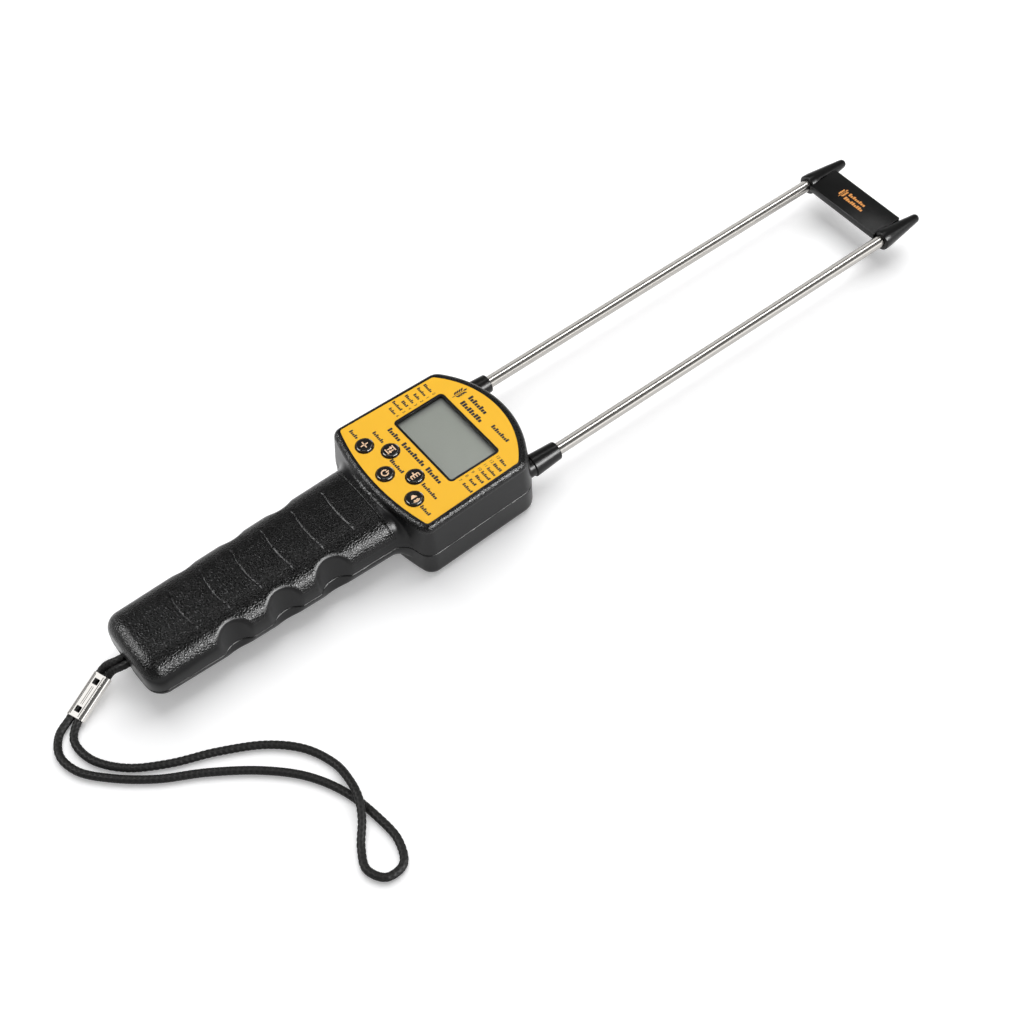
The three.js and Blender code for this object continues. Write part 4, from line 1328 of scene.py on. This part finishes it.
for side_name, side in (("left", -1), ("right", 1)):
    for make, part_name, look in (
        (make_probe, "probe", "steel"), (make_ferrule, "ferrule", "sleeve"), (make_cap, "tip_cap", "sleeve"),
    ):
        piece = smooth(make(side))
        piece.name = f"{side_name}_{part_name}_turned"
        dress(piece, look, "meter", look, f"{side_name}_{part_name}")
dress(smooth(make_tip_bar()), "sleeve", "meter", "sleeve", "tip_bar")


def make_bar_mark():
    """A generic wheat ear and two bars, printed on the bar between the tips."""
    y = (BAR["y0"] + BAR["y1"]) / 2
    loops = [*wheat_ear(-8, y, 7), *bar_word(-5.2, 6, y + 1.7, 2.2, 2), *bar_word(-5.2, 7.4, y - 1.7, 2.2, 4)]
    return joined("bar_mark", printed(loops, BAR["z1"]))


dress(make_bar_mark(), "accent", "meter", "label")

# ---------------- pieces inside
CELL = {"skin": 0.24, "fold": 1.05, "button": 1.9, "rise": 1.2}
SCREW = {
    "head": 1.6, "shank": 1.2, "pitch": 0.9, "thread_depth": 0.2, "slot": 0.32, "reach": 1.35, "depth": 0.9,
}


def make_cell(number):
    """A dry cell: the metal can with its button, and the sleeve shrunk over the can's edges."""
    (x0, y0, z0), (x1, y1, z1) = cad_on_face(f"battery_{number}")
    x, radius = (x0 + x1) / 2, (z1 - z0) / 2
    base, toward = (y1, -1) if x < 0 else (y0, 1)
    tip = y1 - y0
    shoulder = tip - CELL["rise"]
    inner, fold, button = radius - CELL["skin"], radius - CELL["fold"], CELL["button"]
    can = [(0, 0), (fold - 0.25, 0), (fold - 0.05, 0.3), (inner - 0.01, 0.3)]
    can += [(inner - 0.01, shoulder - 0.3), (button + 0.5, shoulder - 0.3), (button, shoulder)]
    can += [(button, tip - 0.3), (button - 0.3, tip), (0, tip)]
    sleeve = [(fold, 0.02), (radius - 0.2, 0.02), (radius, 0.25), (radius, shoulder - 0.25)]
    sleeve += [(radius - 0.2, shoulder), (fold, shoulder), (fold, shoulder - 0.2)]
    sleeve += [(inner, shoulder - 0.25), (inner, 0.27), (fold, 0.22)]
    made = []
    for name, profile, hoop in (("cell_can", can, False), ("cell_sleeve", sleeve, True)):
        places_along = [(r, base + toward * place) for r, place in profile]
        made.append(turned(name, places_along, x, AXIS_Z, along_y=True, hoop=hoop))
    return made


def make_screw(number):
    """A cross-head screw, driven in from the back."""
    (x0, y0, base), (x1, y1, tip) = cad_on_face(f"case_screw_{number}")
    x, y, radius = (x0 + x1) / 2, (y0 + y1) / 2, (x1 - x0) / 2
    neck, shank = base + SCREW["head"], SCREW["shank"]
    root = shank - SCREW["thread_depth"]
    profile = [(0, base), (radius - 0.7, base), (radius - 0.2, base + 0.15), (radius, base + 0.5)]
    profile += [(radius, neck), (root, neck)]
    for turn in np.arange(neck + 0.5, tip - 2, SCREW["pitch"]):
        profile += [(root, turn), (shank, turn + 0.2), (shank, turn + 0.3), (root, turn + 0.5)]
    profile += [(root, tip - 1.2), (0, tip)]
    made = turned("case_screw", profile, x, y, sides=32)
    half, reach, low, high = SCREW["slot"], SCREW["reach"], base - 1, base + SCREW["depth"]
    return cut(
        made,
        block("slot", x - half, x + half, y - reach, y + reach, low, high),
        block("slot", x - reach, x + reach, y - half, y + half, low, high + 0.001),
    )


for number in range(1, 5):
    can, sleeve = make_cell(number)
    dress(smooth(can), "nickel", "meter", "nickel")
    dress(smooth(sleeve), "cell", "meter", "cell", f"battery_{number}")
for number in range(1, 7):
    dress(smooth(make_screw(number)), "nickel", "meter", "nickel", f"case_screw_{number}")
for node_name, look in (
    ("circuit_board", "board"), ("speaker", "speaker"), ("strap_pin", "steel"),
    ("positive_contact", "nickel"), ("negative_contact", "nickel"), ("bridge_contact", "nickel"),
    ("battery_spring_1", "nickel"), ("battery_spring_2", "nickel"),
    *[(f"key_switch_{i}", "switch") for i in range(1, 6)],
    *[(f"{side}_probe_terminal", "brass") for side in ("left", "right")],
    *[(f"{side}_probe_lead", "wire") for side in ("left", "right")],
):
    cad = frame["nodes"][node_name]
    cad.data.materials.clear()
    cad.data.materials.append(MATERIALS[look])

# ---------------- floor and light
FLOOR_GLOW = 0.25


def make_floor():
    material, tree, surface = new_material("paper_floor")
    where = places(tree)
    colour = blend_colours(tree, noise(tree, where, 60), (0.88, 0.88, 0.885), (0.90, 0.90, 0.905))
    surface.inputs["Emission Color"].default_value = (1, 1, 1, 1)
    surface.inputs["Emission Strength"].default_value = FLOOR_GLOW
    finish_material(tree, surface, colour, span(tree, noise(tree, where, 20), 0.7, 0.8))
    corners = [(-3000, -3000, -0.05), (3000, -3000, -0.05), (3000, 3000, -0.05), (-3000, 3000, -0.05)]
    floor = new_object("floor", corners, [(0, 1, 2, 3)])
    floor.data.materials.append(material)


METAL_LOOKS = {"steel", "nickel", "brass"}
PLASTIC_LOOKS = set(MATERIALS) - METAL_LOOKS - {"lens"}


def receivers(looks):
    """The pieces with any of these looks, as a collection that a light can be kept to."""
    group = bpy.data.collections.new("receivers")
    materials = {MATERIALS[look] for look in looks}
    for made in bpy.data.objects:
        if made.type == "MESH" and any(place.material in materials for place in made.material_slots):
            group.objects.link(made)
    return group


def area_light(name, direction, distance, size, radiance, mirrored_in=None):
    """A soft light, long along Y. Radiance is how bright it looks, where 1 is a white page. With
    mirrored_in, a collection, it is only mirrored in those pieces; without, it only lights surfaces."""
    data = bpy.data.lights.new(name, "AREA")
    data.shape = "RECTANGLE"
    data.size, data.size_y = size
    data.energy = radiance * math.pi * size[0] * size[1]
    light = placed(name, data)
    toward = Vector(direction).normalized()
    along = (Vector((0, 1, 0)) - toward * toward.y).normalized()
    turn = Matrix((along, toward.cross(along), toward)).transposed().to_4x4()
    light.matrix_world = Matrix.Translation(VIEW_TARGET + toward * distance) @ turn
    light.visible_diffuse = mirrored_in is None
    light.visible_glossy = mirrored_in is not None
    if mirrored_in is not None:
        light.light_linking.receiver_collection = mirrored_in


def make_sky(zenith, horizon):
    """A studio room: pale walls round a dimmer ceiling."""
    world = bpy.data.worlds.new("studio")
    world.use_nodes = True
    tree = world.node_tree
    rise = node(tree, "SeparateXYZ", {"Vector": node(tree, "TexCoord").outputs["Generated"]}).outputs["Z"]
    level = node(tree, "MapRange", {"Value": rise, "To Min": horizon, "To Max": zenith}).outputs[0]
    tree.links.new(level, tree.nodes["Background"].inputs["Strength"])
    tree.nodes["Background"].inputs["Color"].default_value = (1, 1, 1, 1)
    bpy.context.scene.world = world


make_floor()
make_sky(0.06, 0.45)
plastics, metals = receivers(PLASTIC_LOOKS), receivers(METAL_LOOKS)
area_light("key_light", (-0.35, 0.38, 0.86), 2.2, (2.4, 2.4), 3.3)
area_light("fill_light", (0.3, -0.3, 0.9), 1.6, (1.6, 1.6), 0.6)
area_light("overhead_strip", (-0.279, 0.333, 0.90), 1.6, (1.4, 0.16), 6, plastics)
area_light("right_strip", (0.77, 0.333, 0.545), 1.3, (1.2, 0.5), 26, plastics)
area_light("front_strip", (-0.46, -0.56, 0.69), 1.6, (0.8, 0.8), 14, plastics)
area_light("overhead_on_metal", (0.03, 0.333, 0.94), 1.6, (1.6, 0.3), 8, metals)
area_light("right_on_metal", (0.925, 0.333, 0.18), 1.3, (1.6, 0.45), 1.9, metals)
area_light("left_on_metal", (-0.8, 0.333, 0.5), 1.3, (1.6, 1.0), 0.9, metals)
area_light("front_on_metal", (-0.25, -0.56, 0.79), 1.6, (1.2, 1.5), 1.25, metals)
bpy.context.scene.view_settings.view_transform = "Standard"
